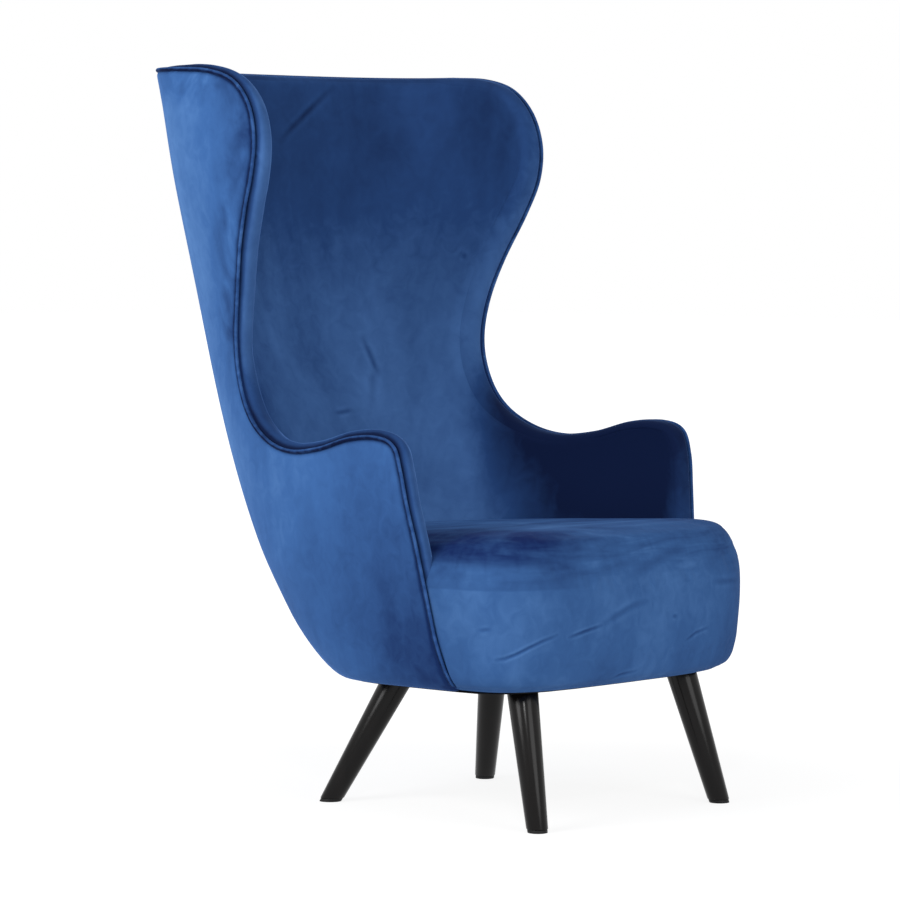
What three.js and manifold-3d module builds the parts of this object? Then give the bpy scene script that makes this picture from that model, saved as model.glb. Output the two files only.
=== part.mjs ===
import * as THREE from 'three';
import { mergeVertices } from 'three/addons/utils/BufferGeometryUtils.js';
import Module from 'manifold-3d';

// High-back wing armchair: a padded tub of back, wings and arms in one sweep, a tight seat with a
// bow front, and four splayed legs. Millimetres, +Z up, the chair faces -Y, X is its width.
// The origin is on the floor under the middle of the chair.

const wasm = await Module();
wasm.setup();

// Overall sizes
const rimHeight = 1288;
const halfWidth = 388;
const backReach = 470;
const frontReach = 470;
const clearance = 0.3;
const overrun = 60;

// Plan of the tub: straight sides run into a rounded back. The plan's sizes change with height.
const planPower = 2.7;
const cornerShare = 1.396;
const cornerReach = backReach * cornerShare;
const levelShares = [0.178, 0.264, 0.357, 0.497, 0.683, 0.854, 1];
const halfWidthShares = [0.876, 0.897, 0.951, 1, 0.91, 0.985, 0.951];
const backReachShares = [0.247, 0.481, 0.657, 0.826, 0.979, 0.996, 1];
const cornerReachShares = [0.42, 0.64, 0.823, 1, 0.747, 0.514, 0.265];
const quarterSteps = 11;
const levelCount = 12;

// Turn of the tub under its base
const baseShare = 0.1801;
const turnShare = 0.0839;
const baseHeight = rimHeight * baseShare;
const turnHeight = rimHeight * turnShare;
const turnInset = 36;
const turnSteps = 4;
const lipWidth = 15;
const lipThickness = 5;

// Side view of the rim, from the arm's foot over arm, waist and wing to the top. Each point is a
// share of the reach, of the front's where it is below zero, and a share of the rim's height.
const rimShares = [
  [-0.632, 0.188], [-0.587, 0.262], [-0.56, 0.35], [-0.528, 0.422], [-0.508, 0.468],
  [-0.474, 0.5], [-0.385, 0.5105], [-0.25, 0.507], [-0.09, 0.492], [0.07, 0.486],
  [0.21, 0.496], [0.33, 0.522], [0.405, 0.56], [0.443, 0.613], [0.432, 0.67],
  [0.378, 0.74], [0.302, 0.806], [0.25, 0.855], [0.237, 0.903], [0.275, 0.948],
  [0.365, 0.981], [0.5, 0.996], [0.68, 1],
];
const rimSteps = 40;
const topSteps = 7;

// Layers of the tub wall
const coverThickness = 8;
const shellThickness = 12;
const rimSetback = 10;
const pipingRadius = 3.5;
const pipingSides = 6;
const sideWall = 55;
const sideWallShares = [0.72, 0.74, 0.76, 0.78, 0.92, 0.98, 0.76];
const backWall = 88;
const backWallShares = [0.8, 0.92, 1, 0.86, 0.7, 0.64, 0.58];
const padFootShare = 0.2795;
const padFoot = rimHeight * padFootShare;
const leastPad = 5;
const nip = 3;

// Border strip: across its width as shares, and its rise above the rim as shares of its crown
const bandCrown = 8;
const bandFootShare = 0.2966;
const bandFoot = rimHeight * bandFootShare;
const bandShares = [[1, -0.1], [0.94, 0.25], [0.78, 0.75], [0.5, 1], [0.22, 0.8], [0, 0.2]];

// Seat: plan with a bow front, sides that swell, and a crowned top
const seatHalfShare = 0.879;
const seatLineShare = 0.602;
const seatHalf = halfWidth * seatHalfShare;
const seatLine = -frontReach * seatLineShare;
const seatPower = 3.5;
const seatLift = 9;
const seatRiseShare = 0.188;
const seatBottom = baseHeight + seatLift;
const seatCrown = seatBottom + rimHeight * seatRiseShare;
const seatSwell = 25;
const seatSideShares = [
  [0, -1.15], [0.035, -0.72], [0.12, -0.38], [0.29, -0.2], [0.49, -0.04], [0.68, 0], [0.8, -0.12],
  [0.88, -0.36],
];
const seatTopShares = [[0.94, 0.965], [0.972, 0.91], [0.988, 0.78], [0.997, 0.5], [1, 0.2]];
const seatCentreShare = 0.128;
const seatCentre = -frontReach * seatCentreShare;
const seatSlopeShare = 0.045;
const seatSteps = 14;
const apronReturn = 48;

// Timber base
const railThickness = 32;
const railHeight = 100;
const apronFoam = 50;
const sideFoam = 41;
const rearRailShare = 0.083;
const rearRailFace = backReach * rearRailShare;
const blockHeight = 62;
const blockDepth = 85;
const blockFront = { innerShare: 0.387, outerShare: 0.691, frontShare: 0.851, rearShare: 0.63 };
const blockRear = { innerShare: 0.18, outerShare: 0.4845 };

// Springs
const springShares = [-0.505, -0.2525, 0, 0.2525, 0.505];
const springBars = 12;
const springBend = 4;
const wireRadius = 2;
const wireSides = 5;
const barHalf = 11;
const clipSheet = 2;
const clipFoot = 12;
const clipWidth = 17;
const sheetThickness = 3;

// Legs: places of their tops, and how far each leg leans out and ahead for each unit of height
const legFront = { sideShare: 0.5444, outShare: 0.14, aheadShare: 0.27 };
const legRear = { sideShare: 0.3113, outShare: 0.36, aheadShare: -0.415 };
const frontLegSetback = 12.4;
const rearLegSetback = 39.8;
const legTopRadius = 24.5;
const legFootRadius = 17.5;
const legSides = 20;
const plateSize = 72;
const plateThickness = 2.7;
const plateCorner = 8;
const plateCornerSteps = 2;
const screwPlace = 28;
const screwHead = { radius: 4.2, height: 1.4, sides: 8 };
const boltRadius = 4;
const boltReach = 45;
const boltSides = 12;
const boltClearance = 0.4;
const glide = { radius: 13, height: 6, chamfer: 1.5, pinRadius: 2, pinLength: 14 };

// Cloth under the base
const clothThickness = 1.5;
const clothInset = 6;
const clothFrontShare = 0.264;
const clothFront = frontReach * clothFrontShare;
const clothHole = 2;

const finish = {
  velvet: { color: 0x2f558f, roughness: 0.85, metalness: 0 },
  welt: { color: 0x2a4d86, roughness: 0.85, metalness: 0 },
  shell: { color: 0xb9b8b0, roughness: 0.6, metalness: 0 },
  timber: { color: 0xc29a63, roughness: 0.7, metalness: 0 },
  felt: { color: 0x8c8478, roughness: 0.95, metalness: 0 },
  steel: { color: 0x9a9da1, roughness: 0.35, metalness: 1 },
  leg: { color: 0x1d1b1a, roughness: 0.45, metalness: 0 },
  glide: { color: 0x151515, roughness: 0.6, metalness: 0 },
  cloth: { color: 0x1a1a1c, roughness: 0.95, metalness: 0 },
};

const chair = new THREE.Group();
chair.name = 'wing_armchair';

function add(name, geometry, look) {
  geometry.computeVertexNormals();
  const mesh = new THREE.Mesh(geometry, new THREE.MeshStandardMaterial(finish[look]));
  mesh.name = name;
  chair.add(mesh);
}

// A closed geometry as a solid for cuts, and back
function solid(geometry) {
  const bare = geometry.index ? geometry.toNonIndexed() : geometry.clone();
  bare.deleteAttribute('normal');
  bare.deleteAttribute('uv');
  const merged = mergeVertices(bare);
  const mesh = new wasm.Mesh({
    numProp: 3,
    vertProperties: merged.attributes.position.array,
    triVerts: Uint32Array.from(merged.index.array),
  });
  return new wasm.Manifold(mesh);
}

function surface(body) {
  const mesh = body.getMesh();
  const geometry = new THREE.BufferGeometry();
  geometry.setAttribute('position', new THREE.BufferAttribute(Float32Array.from(mesh.vertProperties), 3));
  geometry.setIndex([...mesh.triVerts]);
  return geometry;
}

// A closed skin over a row of rings with as many points each, capped at both ends
function loft(rings, flat = (point) => new THREE.Vector2(point.x, point.y)) {
  const count = rings[0].length;
  const positions = rings.flat().flatMap((point) => point.toArray());
  const index = [];
  for (let row = 0; row < rings.length - 1; row += 1) {
    for (let k = 0; k < count; k += 1) {
      const next = (k + 1) % count;
      const low = row * count;
      const high = low + count;
      index.push(low + k, low + next, high + next, low + k, high + next, high + k);
    }
  }
  for (const [ring, start, end] of [[0, 0, true], [rings.length - 1, (rings.length - 1) * count, false]]) {
    const outline = rings[ring].map(flat);
    const turned = THREE.ShapeUtils.isClockWise(outline);
    for (const [a, b, c] of THREE.ShapeUtils.triangulateShape(outline, [])) {
      index.push(...(turned === end ? [start + a, start + b, start + c] : [start + a, start + c, start + b]));
    }
  }
  const geometry = new THREE.BufferGeometry();
  geometry.setAttribute('position', new THREE.Float32BufferAttribute(positions, 3));
  geometry.setIndex(index);
  return geometry;
}

// A smooth value at a place between stations
function between(stations, values, at) {
  const last = stations.length - 1;
  let i = 0;
  while (i < last - 1 && at > stations[i + 1]) i += 1;
  const slope = (k) => {
    const low = Math.max(k - 1, 0);
    const high = Math.min(k + 1, last);
    return (values[high] - values[low]) / (stations[high] - stations[low]);
  };
  const run = stations[i + 1] - stations[i];
  const t = (at - stations[i]) / run;
  const rise = t * t * (3 - 2 * t);
  const ends = slope(i) * t * (1 - t) ** 2 - slope(i + 1) * t * t * (1 - t);
  return values[i] + (values[i + 1] - values[i]) * rise + run * ends;
}

// How far the base's turn draws the plan in at a height
function turnAt(height) {
  const drop = THREE.MathUtils.clamp((height - baseHeight) / turnHeight, 0, 1);
  return turnInset * (1 - Math.sin(Math.acos(1 - drop)));
}

const backAt = (height) => backReach * between(levelShares, backReachShares, height / rimHeight);

// The tub's plan at a height, a given depth inside its sides and its back
function planAt(height, side, back) {
  const share = height / rimHeight;
  const lean = Math.hypot(1, (backAt(height + overrun) - backAt(height - overrun)) / (2 * overrun));
  const start = backAt(height) - cornerReach * between(levelShares, cornerReachShares, share);
  return {
    half: halfWidth * between(levelShares, halfWidthShares, share) - turnAt(height) - side,
    start,
    corner: backAt(height) - start - turnAt(height) - back * lean,
  };
}

const power = (value) => Math.max(value, 0) ** (2 / planPower);

// A point of the plan: angle 0 is at the side, a quarter turn is at the middle of the back
function planPoint(plan, angle, height) {
  return new THREE.Vector3(
    plan.half * power(Math.cos(angle)),
    plan.start + plan.corner * power(Math.sin(angle)),
    height,
  );
}

// The width of the plan at a depth along Y
function widthAt(plan, y) {
  const share = THREE.MathUtils.clamp((y - plan.start) / plan.corner, 0, 1);
  return plan.half * (1 - share ** planPower) ** (1 / planPower);
}

const opposite = (point) => new THREE.Vector3(-point.x, point.y, point.z);
const mirrored = (points) => points.map(opposite).reverse();

// Quarter turn in steps that are shorter at both ends
const quarterAngles = Array.from({ length: quarterSteps + 1 }, (_, k) => {
  const t = k / quarterSteps;
  return (Math.PI / 2) * (t - Math.sin(2 * Math.PI * t) / (4 * Math.PI));
});

function quarter(plan, height) {
  return quarterAngles.map((angle) => planPoint(plan, angle, height));
}

function tubRing(height, side, back) {
  const plan = planAt(height, side, back);
  const front = new THREE.Vector3(plan.half, -frontReach - overrun, height);
  const right = [front, ...quarter(plan, height)];
  return [...right, ...mirrored(right).slice(1)];
}

// Heights of the tub's rings: close together in the turn, then even up to over the rim
const turnLevels = Array.from({ length: turnSteps }, (_, k) => (
  baseHeight + turnHeight * (1 - Math.cos((Math.PI / 2) * (k / turnSteps)))
));
const wallLevels = Array.from({ length: levelCount + 1 }, (_, k) => (
  THREE.MathUtils.lerp(baseHeight + turnHeight, rimHeight + bandCrown * 2, k / levelCount)
));
const levels = [baseHeight - overrun, ...turnLevels, ...wallLevels];

// A flat slab between two heights
function slab(low, high) {
  const size = 4 * (halfWidth + overrun);
  const geometry = new THREE.BoxGeometry(size, size, high - low);
  geometry.translate(0, 0, (high + low) / 2);
  return solid(geometry);
}

// The space inside the tub's outer face, at a depth, from a height to over the rim
function tub(depth, low = baseHeight) {
  const whole = solid(loft(levels.map((height) => tubRing(height, depth, depth))));
  return whole.intersect(slab(low, rimHeight + overrun));
}

// Depths of the padding's face
const sideDepth = (height) => sideWall * between(levelShares, sideWallShares, height / rimHeight);
const backDepth = (height) => backWall * between(levelShares, backWallShares, height / rimHeight);

function sittingSpace() {
  return solid(loft(levels.map((height) => tubRing(height, sideDepth(height), backDepth(height)))));
}

// The rim in side view, points with their outward direction
const rimCurve = new THREE.SplineCurve(rimShares.map(([reach, rise]) => (
  new THREE.Vector2(reach * (reach < 0 ? frontReach : backReach), rise * rimHeight)
)));
const rimSide = Array.from({ length: rimSteps + 1 }, (_, k) => {
  const point = rimCurve.getPoint(k / rimSteps);
  const along = rimCurve.getTangent(k / rimSteps);
  return { y: point.x, z: point.y, outY: -along.y, outZ: along.x };
});

// The place on the front edge of the arm at a height, between two of the rim's steps
function rimAt(height) {
  const next = Math.max(rimSide.findIndex((place) => place.z > height), 1);
  const [from, to] = rimSide.slice(next - 1, next + 1);
  const share = THREE.MathUtils.clamp((height - from.z) / (to.z - from.z), 0, 1);
  const mixed = (key) => THREE.MathUtils.lerp(from[key], to[key], share);
  return { next, y: mixed('y'), z: mixed('z'), outY: mixed('outY'), outZ: mixed('outZ') };
}

// Everything behind the rim, which is moved out by a distance
function behindRim(out) {
  const line = rimSide.map((place) => (
    new THREE.Vector2(place.y + place.outY * out, place.z + place.outZ * out)
  ));
  const foot = line[0];
  const far = backReach + overrun;
  const shape = new THREE.Shape([
    new THREE.Vector2(foot.x - overrun / 2, foot.y - overrun),
    ...line,
    new THREE.Vector2(far, rimHeight + out),
    new THREE.Vector2(far, foot.y - overrun),
  ]);
  const width = 2 * (halfWidth + overrun);
  const geometry = new THREE.ExtrudeGeometry(shape, { depth: width, bevelEnabled: false });
  geometry.translate(0, 0, -width / 2);
  geometry.applyMatrix4(new THREE.Matrix4().makeBasis(
    new THREE.Vector3(0, 1, 0),
    new THREE.Vector3(0, 0, 1),
    new THREE.Vector3(1, 0, 0),
  ));
  return solid(geometry);
}

// Stations along the rim, from the right foot over the top to the left foot. Each one gives the
// point at a depth in the wall, and the way out of the rim.
function rimStation(place) {
  return {
    z: place.z,
    at: (side, back) => new THREE.Vector3(widthAt(planAt(place.z, side, back), place.y), place.y, place.z),
    out: new THREE.Vector3(0, place.outY, place.outZ),
  };
}

function topStation(share) {
  const last = rimSide[rimSteps];
  const angleFrom = (plan) => Math.asin(((last.y - plan.start) / plan.corner) ** (planPower / 2));
  return {
    z: rimHeight,
    at: (side, back) => {
      const plan = planAt(rimHeight, side, back);
      return planPoint(plan, THREE.MathUtils.lerp(angleFrom(plan), Math.PI / 2, share), rimHeight);
    },
    out: new THREE.Vector3(0, 0, 1),
  };
}

const rightStations = [
  ...rimSide.map(rimStation),
  ...Array.from({ length: topSteps }, (_, k) => topStation((k + 1) / topSteps)),
];

function swept(section, foot) {
  const start = rimAt(foot);
  const right = [rimStation(start), ...rightStations.slice(start.next)].map(section);
  const left = right.slice(0, -1).map((ring) => ring.map(opposite));
  return loft([...right, ...left.reverse()]);
}

// Outer cover, turned under at the base
function outerCover() {
  const floor = baseHeight + lipThickness;
  const opening = tub(lipWidth, baseHeight - overrun);
  const hollow = tub(coverThickness, floor);
  return tub(0).subtract(hollow).subtract(opening.intersect(slab(-overrun, floor + clearance)))
    .intersect(behindRim(-pipingRadius - clearance));
}

const shellDepth = coverThickness + clearance;
const padDepth = shellDepth + shellThickness + clearance;
const seatSideDepth = padDepth + leastPad + clearance;

// Seat block, grown by a margin
function seatRing(height, swell, share, grow) {
  const spread = seatHalf + swell * seatSwell + grow;
  const bow = frontReach + seatLine + swell * seatSwell + grow;
  const wall = planAt(height, 0, backDepth(height));
  const rear = wall.start + wall.corner + nip + grow - seatLine;
  const points = [];
  for (let k = 0; k < seatSteps * 2; k += 1) {
    const angle = (Math.PI * k) / seatSteps;
    const sine = Math.sin(angle);
    const reach = sine < 0 ? bow : rear;
    const curve = sine < 0 ? seatPower : planPower;
    points.push(new THREE.Vector3(
      spread * Math.sign(Math.cos(angle)) * Math.abs(Math.cos(angle)) ** (2 / curve) * share,
      seatCentre + (seatLine + reach * Math.sign(sine) * Math.abs(sine) ** (2 / curve) - seatCentre) * share,
      height,
    ));
  }
  return points;
}

function seatBlock(grow) {
  const rise = seatCrown - seatBottom;
  const sides = seatSideShares.map(([up, swell]) => seatRing(seatBottom + up * rise, swell, 1, grow));
  const edge = seatSideShares.at(-1)[1];
  const top = seatTopShares.map(([up, share]) => {
    const ring = seatRing(seatBottom + up * rise, edge, share, grow);
    return ring.map((point) => point.setZ(point.z + grow + (seatCentre - point.y) * seatSlopeShare));
  });
  return solid(loft([...sides, ...top]));
}

// The seat keeps inside the tub's wall, and in front of the piping
function seatForm(grow) {
  const room = tub(seatSideDepth - grow, baseHeight - overrun);
  const wall = behindRim(pipingRadius + clearance - grow).subtract(room);
  return seatBlock(grow).subtract(wall);
}

// Bow of the seat's front at an inset from the seat's plan
function bowPoints(half, reach, steps = seatSteps) {
  return Array.from({ length: steps + 1 }, (_, k) => {
    const angle = (Math.PI * k) / steps;
    return new THREE.Vector2(
      half * Math.sign(Math.cos(angle)) * Math.abs(Math.cos(angle)) ** (2 / seatPower),
      seatLine - reach * Math.sin(angle) ** (2 / seatPower),
    );
  });
}

function bowAt(half, reach, x) {
  return seatLine - reach * (1 - (Math.abs(x) / half) ** seatPower) ** (1 / seatPower);
}

function prism(points, low, high) {
  const shape = new THREE.Shape(points);
  const geometry = new THREE.ExtrudeGeometry(shape, { depth: high - low, bevelEnabled: false });
  geometry.translate(0, 0, low);
  return geometry;
}

function block(x0, x1, y0, y1, low, high) {
  const geometry = new THREE.BoxGeometry(x1 - x0, y1 - y0, high - low);
  geometry.translate((x0 + x1) / 2, (y0 + y1) / 2, (low + high) / 2);
  return solid(geometry);
}

// Heights of the base, from the turned-under cover up to the seat's foam
const frameBottom = baseHeight + lipThickness + clearance;
const frameTop = frameBottom + railHeight;
const wireHeight = frameTop + clearance + clipSheet + clearance + wireRadius;
const clipTop = wireHeight + wireRadius + clearance + clipSheet;
const sheetBottom = clipTop + clearance;
const foamBottom = sheetBottom + sheetThickness + clearance;

const frameHalf = seatHalf - sideFoam;
const frameBow = frontReach + seatLine - apronFoam;
const innerHalf = frameHalf - railThickness;
const innerBow = frameBow - railThickness;

function seatCavity() {
  const narrow = frameHalf + clearance;
  const wide = halfWidth + overrun;
  const apronEnd = seatLine + apronReturn;
  const outline = [
    ...bowPoints(narrow, frameBow + clearance),
    new THREE.Vector2(-narrow, apronEnd),
    new THREE.Vector2(-wide, apronEnd),
    new THREE.Vector2(-wide, backReach + overrun),
    new THREE.Vector2(wide, backReach + overrun),
    new THREE.Vector2(wide, apronEnd),
    new THREE.Vector2(narrow, apronEnd),
  ];
  return solid(prism(outline, seatBottom - overrun, foamBottom));
}

add('outer_cover', surface(outerCover()), 'velvet');

const shell = tub(shellDepth, frameBottom).subtract(tub(shellDepth + shellThickness, frameBottom - overrun));
add('tub_shell', surface(shell.intersect(behindRim(-rimSetback))), 'shell');

const seatRoom = seatForm(clearance);
const pad = tub(padDepth, padFoot).subtract(sittingSpace()).intersect(behindRim(-rimSetback));
add('inner_pad', surface(pad.subtract(seatRoom)), 'velvet');

// Border strip over the wall's edge
const bandBase = clearance - rimSetback;
const bandCrest = bandShares.map(([share, rise]) => [share, rise * bandCrown]);
const bandProfile = [[0, bandBase], [1, bandBase], ...bandCrest];
const band = solid(swept((station) => {
  const near = station.at(shellDepth, shellDepth);
  const far = station.at(sideDepth(station.z), backDepth(station.z));
  return bandProfile.map(([share, height]) => (
    near.clone().lerp(far, share).addScaledVector(station.out, height)
  ));
}, bandFoot));
add('edge_band', surface(band.intersect(tub(shellDepth, bandFoot - overrun)).subtract(seatRoom)), 'velvet');

// Piping on the cover's edge
add('edge_piping', swept((station) => {
  const centre = station.at(pipingRadius, pipingRadius);
  const across = station.at(shellDepth, shellDepth).sub(centre).normalize();
  return Array.from({ length: pipingSides }, (_, k) => {
    const angle = (2 * Math.PI * k) / pipingSides;
    return centre.clone()
      .addScaledVector(across, pipingRadius * Math.cos(angle))
      .addScaledVector(station.out, pipingRadius * Math.sin(angle));
  });
}, baseHeight), 'welt');

add('seat_cushion', surface(seatForm(0).subtract(seatCavity())), 'velvet');

// Base frame: a bent front rail, two side rails and a rear rail, trimmed to the shell
const frameRoom = tub(padDepth, frameBottom - overrun);
const bentRail = [...bowPoints(frameHalf, frameBow), ...bowPoints(innerHalf, innerBow).reverse()];
add('front_rail', surface(solid(prism(bentRail, frameBottom, frameTop)).intersect(frameRoom)), 'timber');

const railFront = seatLine + clearance;
const railRear = rearRailFace - clearance;
for (const [name, side] of [['left', 1], ['right', -1]]) {
  const ends = [side * innerHalf, side * frameHalf].sort((a, b) => a - b);
  const rail = block(...ends, railFront, railRear, frameBottom, frameTop).intersect(frameRoom);
  add(`${name}_rail`, surface(rail), 'timber');
}
const rearRailEnd = rearRailFace + railThickness;
const rearRail = block(-halfWidth, halfWidth, rearRailFace, rearRailEnd, frameBottom, frameTop);
add('rear_rail', surface(rearRail.intersect(frameRoom)), 'timber');

// A straight round bar from one point to another, with its own end radii
function bar(from, to, fromRadius, toRadius, sides) {
  const way = to.clone().sub(from);
  const geometry = new THREE.CylinderGeometry(toRadius, fromRadius, way.length(), sides);
  geometry.applyQuaternion(new THREE.Quaternion().setFromUnitVectors(
    new THREE.Vector3(0, 1, 0),
    way.clone().normalize(),
  ));
  geometry.translate(...from.clone().add(to).multiplyScalar(0.5).toArray());
  return geometry;
}

// A rounded square plate with its four screw heads
function legPlate(centre) {
  const half = plateSize / 2;
  const shape = new THREE.Shape();
  shape.absarc(half - plateCorner, half - plateCorner, plateCorner, 0, Math.PI / 2);
  shape.absarc(plateCorner - half, half - plateCorner, plateCorner, Math.PI / 2, Math.PI);
  shape.absarc(plateCorner - half, plateCorner - half, plateCorner, Math.PI, 1.5 * Math.PI);
  shape.absarc(half - plateCorner, plateCorner - half, plateCorner, 1.5 * Math.PI, 2 * Math.PI);
  const geometry = new THREE.ExtrudeGeometry(shape, {
    depth: plateThickness, bevelEnabled: false, curveSegments: plateCornerSteps,
  });
  geometry.translate(centre.x, centre.y, plateBottom);
  let plate = solid(geometry);
  for (const x of [-screwPlace, screwPlace]) {
    for (const y of [-screwPlace, screwPlace]) {
      const top = new THREE.Vector3(centre.x + x, centre.y + y, plateBottom + plateThickness / 2);
      const low = top.clone().setZ(plateBottom - screwHead.height);
      plate = plate.add(solid(bar(low, top, screwHead.radius, screwHead.radius, screwHead.sides)));
    }
  }
  return plate;
}

// Legs with their plates, bolts, blocks and glides
const plateBottom = frameBottom - clearance - plateThickness;
const legTop = plateBottom - clearance;
const corners = [
  ['front_left', 1, legFront],
  ['front_right', -1, legFront],
  ['rear_left', 1, legRear],
  ['rear_right', -1, legRear],
];
function axisAt(side, lean, height) {
  const below = legTop - height;
  const across = halfWidth * lean.sideShare;
  const top = lean === legRear
    ? railRear - rearLegSetback
    : bowAt(innerHalf, innerBow, across) + frontLegSetback;
  return new THREE.Vector3(
    side * (across + lean.outShare * below),
    top - lean.aheadShare * below,
    height,
  );
}
const legBody = (side, lean, extra) => solid(bar(
  axisAt(side, lean, -legFootRadius),
  axisAt(side, lean, legTop + legTopRadius),
  legFootRadius + extra,
  legTopRadius + extra,
  legSides,
));

let cloth = null;
const clothTop = baseHeight - clearance;
{
  const plan = planAt(baseHeight, clothInset, clothInset);
  const rear = quarter(plan, clothTop).map((point) => new THREE.Vector2(point.x, point.y));
  const left = rear.slice(0, -1).map((point) => new THREE.Vector2(-point.x, point.y)).reverse();
  const front = bowPoints(plan.half, clothFront).reverse();
  cloth = solid(prism([...rear, ...left, ...front], clothTop - clothThickness, clothTop));
}

for (const [name, side, lean] of corners) {
  const boltLow = axisAt(side, lean, legTop - boltReach);
  const boltHigh = axisAt(side, lean, frameBottom + boltReach);
  const boltHole = solid(bar(
    axisAt(side, lean, legTop - boltReach - boltRadius),
    axisAt(side, lean, frameBottom + boltReach + boltRadius),
    boltRadius + boltClearance,
    boltRadius + boltClearance,
    boltSides,
  ));
  add(`hanger_bolt_${name}`, bar(boltLow, boltHigh, boltRadius, boltRadius, boltSides), 'steel');

  const pinTop = glide.height + glide.pinLength;
  const pinPlace = axisAt(side, lean, 0);
  const pinHole = solid(bar(
    pinPlace.clone().setZ(0),
    pinPlace.clone().setZ(pinTop + glide.pinRadius),
    glide.pinRadius + clearance,
    glide.pinRadius + clearance,
    boltSides,
  ));
  const leg = legBody(side, lean, 0).intersect(slab(glide.height + clearance, legTop));
  add(`leg_${name}`, surface(leg.subtract(boltHole).subtract(pinHole)), 'leg');

  const profile = [
    [0, 0], [glide.radius - glide.chamfer, 0], [glide.radius, glide.chamfer], [glide.radius, glide.height],
    [glide.pinRadius, glide.height], [glide.pinRadius, pinTop], [0, pinTop],
  ];
  const disc = new THREE.LatheGeometry(profile.map(([r, h]) => new THREE.Vector2(r, h)), boltSides);
  disc.rotateX(Math.PI / 2);
  disc.translate(pinPlace.x, pinPlace.y, 0);
  add(`glide_${name}`, disc, 'glide');

  const plate = legPlate(axisAt(side, lean, plateBottom)).subtract(boltHole);
  add(`leg_plate_${name}`, surface(plate), 'steel');

  cloth = cloth.subtract(legBody(side, lean, clothHole));

  const rear = lean === legRear;
  const form = rear ? blockRear : blockFront;
  const ends = [form.innerShare, form.outerShare].map((share) => side * halfWidth * share);
  ends.sort((a, b) => a - b);
  const depth = rear
    ? [railRear - blockDepth, railRear]
    : [-frontReach * form.frontShare, -frontReach * form.rearShare];
  let timber = block(...ends, ...depth, frameBottom, frameBottom + blockHeight);
  if (!rear) {
    const inside = bowPoints(innerHalf - clearance, innerBow - clearance);
    timber = timber.intersect(solid(prism(inside, frameBottom - overrun, frameTop)));
  }
  add(`leg_block_${name}`, surface(timber.subtract(boltHole)), 'timber');
}
add('dust_cover', surface(cloth), 'cloth');

// Sinuous springs: straight bars joined by half turns, from the front rail to the rear rail
function springPath(x, front, rear) {
  const pitch = (rear - front) / (springBars - 1);
  const points = [new THREE.Vector3(x - barHalf, front, wireHeight)];
  for (let k = 0; k < springBars; k += 1) {
    const side = k % 2 ? -1 : 1;
    const y = front + k * pitch;
    points.push(new THREE.Vector3(x + side * barHalf, y, wireHeight));
    if (k === springBars - 1) break;
    for (let j = 1; j <= springBend; j += 1) {
      const angle = (Math.PI * j) / springBend;
      points.push(new THREE.Vector3(
        x + side * (barHalf + (pitch / 2) * Math.sin(angle)),
        y + (pitch / 2) * (1 - Math.cos(angle)),
        wireHeight,
      ));
    }
  }
  return points;
}

function wire(points) {
  const up = new THREE.Vector3(0, 0, 1);
  return loft(points.map((point, k) => {
    const before = points[Math.max(k - 1, 0)];
    const after = points[Math.min(k + 1, points.length - 1)];
    const aside = up.clone().cross(after.clone().sub(before)).normalize();
    return Array.from({ length: wireSides }, (_, j) => {
      const angle = (2 * Math.PI * j) / wireSides;
      return point.clone()
        .addScaledVector(aside, wireRadius * Math.cos(angle))
        .addScaledVector(up, wireRadius * Math.sin(angle));
    });
  }), (point) => new THREE.Vector2(point.y, point.z));
}

// Least space between two turns of a wire, from the points that lie apart along it
function leastGap(points) {
  let least = Infinity;
  for (let i = 0; i < points.length; i += 1) {
    for (let j = i + springBend; j < points.length; j += 1) {
      least = Math.min(least, points[i].distanceTo(points[j]));
    }
  }
  return least - 2 * wireRadius;
}

function springClip(x, y, facing) {
  const inner = wireRadius + clearance;
  const outer = inner + clipSheet;
  const shape = new THREE.Shape([
    [-outer, frameTop + clearance], [clipFoot, frameTop + clearance],
    [clipFoot, frameTop + clearance + clipSheet], [-inner, frameTop + clearance + clipSheet],
    [-inner, clipTop - clipSheet], [outer, clipTop - clipSheet], [outer, clipTop], [-outer, clipTop],
  ].map(([along, height]) => new THREE.Vector2(along, height)));
  const geometry = new THREE.ExtrudeGeometry(shape, { depth: clipWidth, bevelEnabled: false });
  geometry.translate(0, 0, -clipWidth / 2);
  geometry.applyMatrix4(new THREE.Matrix4().makeBasis(
    new THREE.Vector3(0, facing, 0),
    new THREE.Vector3(0, 0, 1),
    new THREE.Vector3(facing, 0, 0),
  ));
  geometry.translate(x, y, 0);
  return geometry;
}

const midHalf = (frameHalf + innerHalf) / 2;
const midBow = (frameBow + innerBow) / 2;
springShares.forEach((share, k) => {
  const x = halfWidth * share;
  const front = bowAt(midHalf, midBow, x);
  const rear = rearRailFace + railThickness / 2;
  const path = springPath(x, front, rear);
  console.log(`seat_spring_${k + 1}: least gap ${leastGap(path).toFixed(1)} mm`);
  add(`seat_spring_${k + 1}`, wire(path), 'steel');
  add(`spring_clip_front_${k + 1}`, springClip(x, front, 1), 'steel');
  add(`spring_clip_rear_${k + 1}`, springClip(x, rear, -1), 'steel');
});

// Felt over the springs
const feltFront = bowPoints(frameHalf, frameBow);
const felt = solid(prism([
  ...feltFront,
  new THREE.Vector2(-frameHalf, rearRailEnd),
  new THREE.Vector2(frameHalf, rearRailEnd),
], sheetBottom, sheetBottom + sheetThickness));
add('seat_insulator', surface(felt.intersect(frameRoom)), 'felt');

export default chair;
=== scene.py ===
import math

import bmesh
import bpy
import numpy as np
from mathutils import Matrix, Vector
from mathutils.kdtree import KDTree


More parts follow.
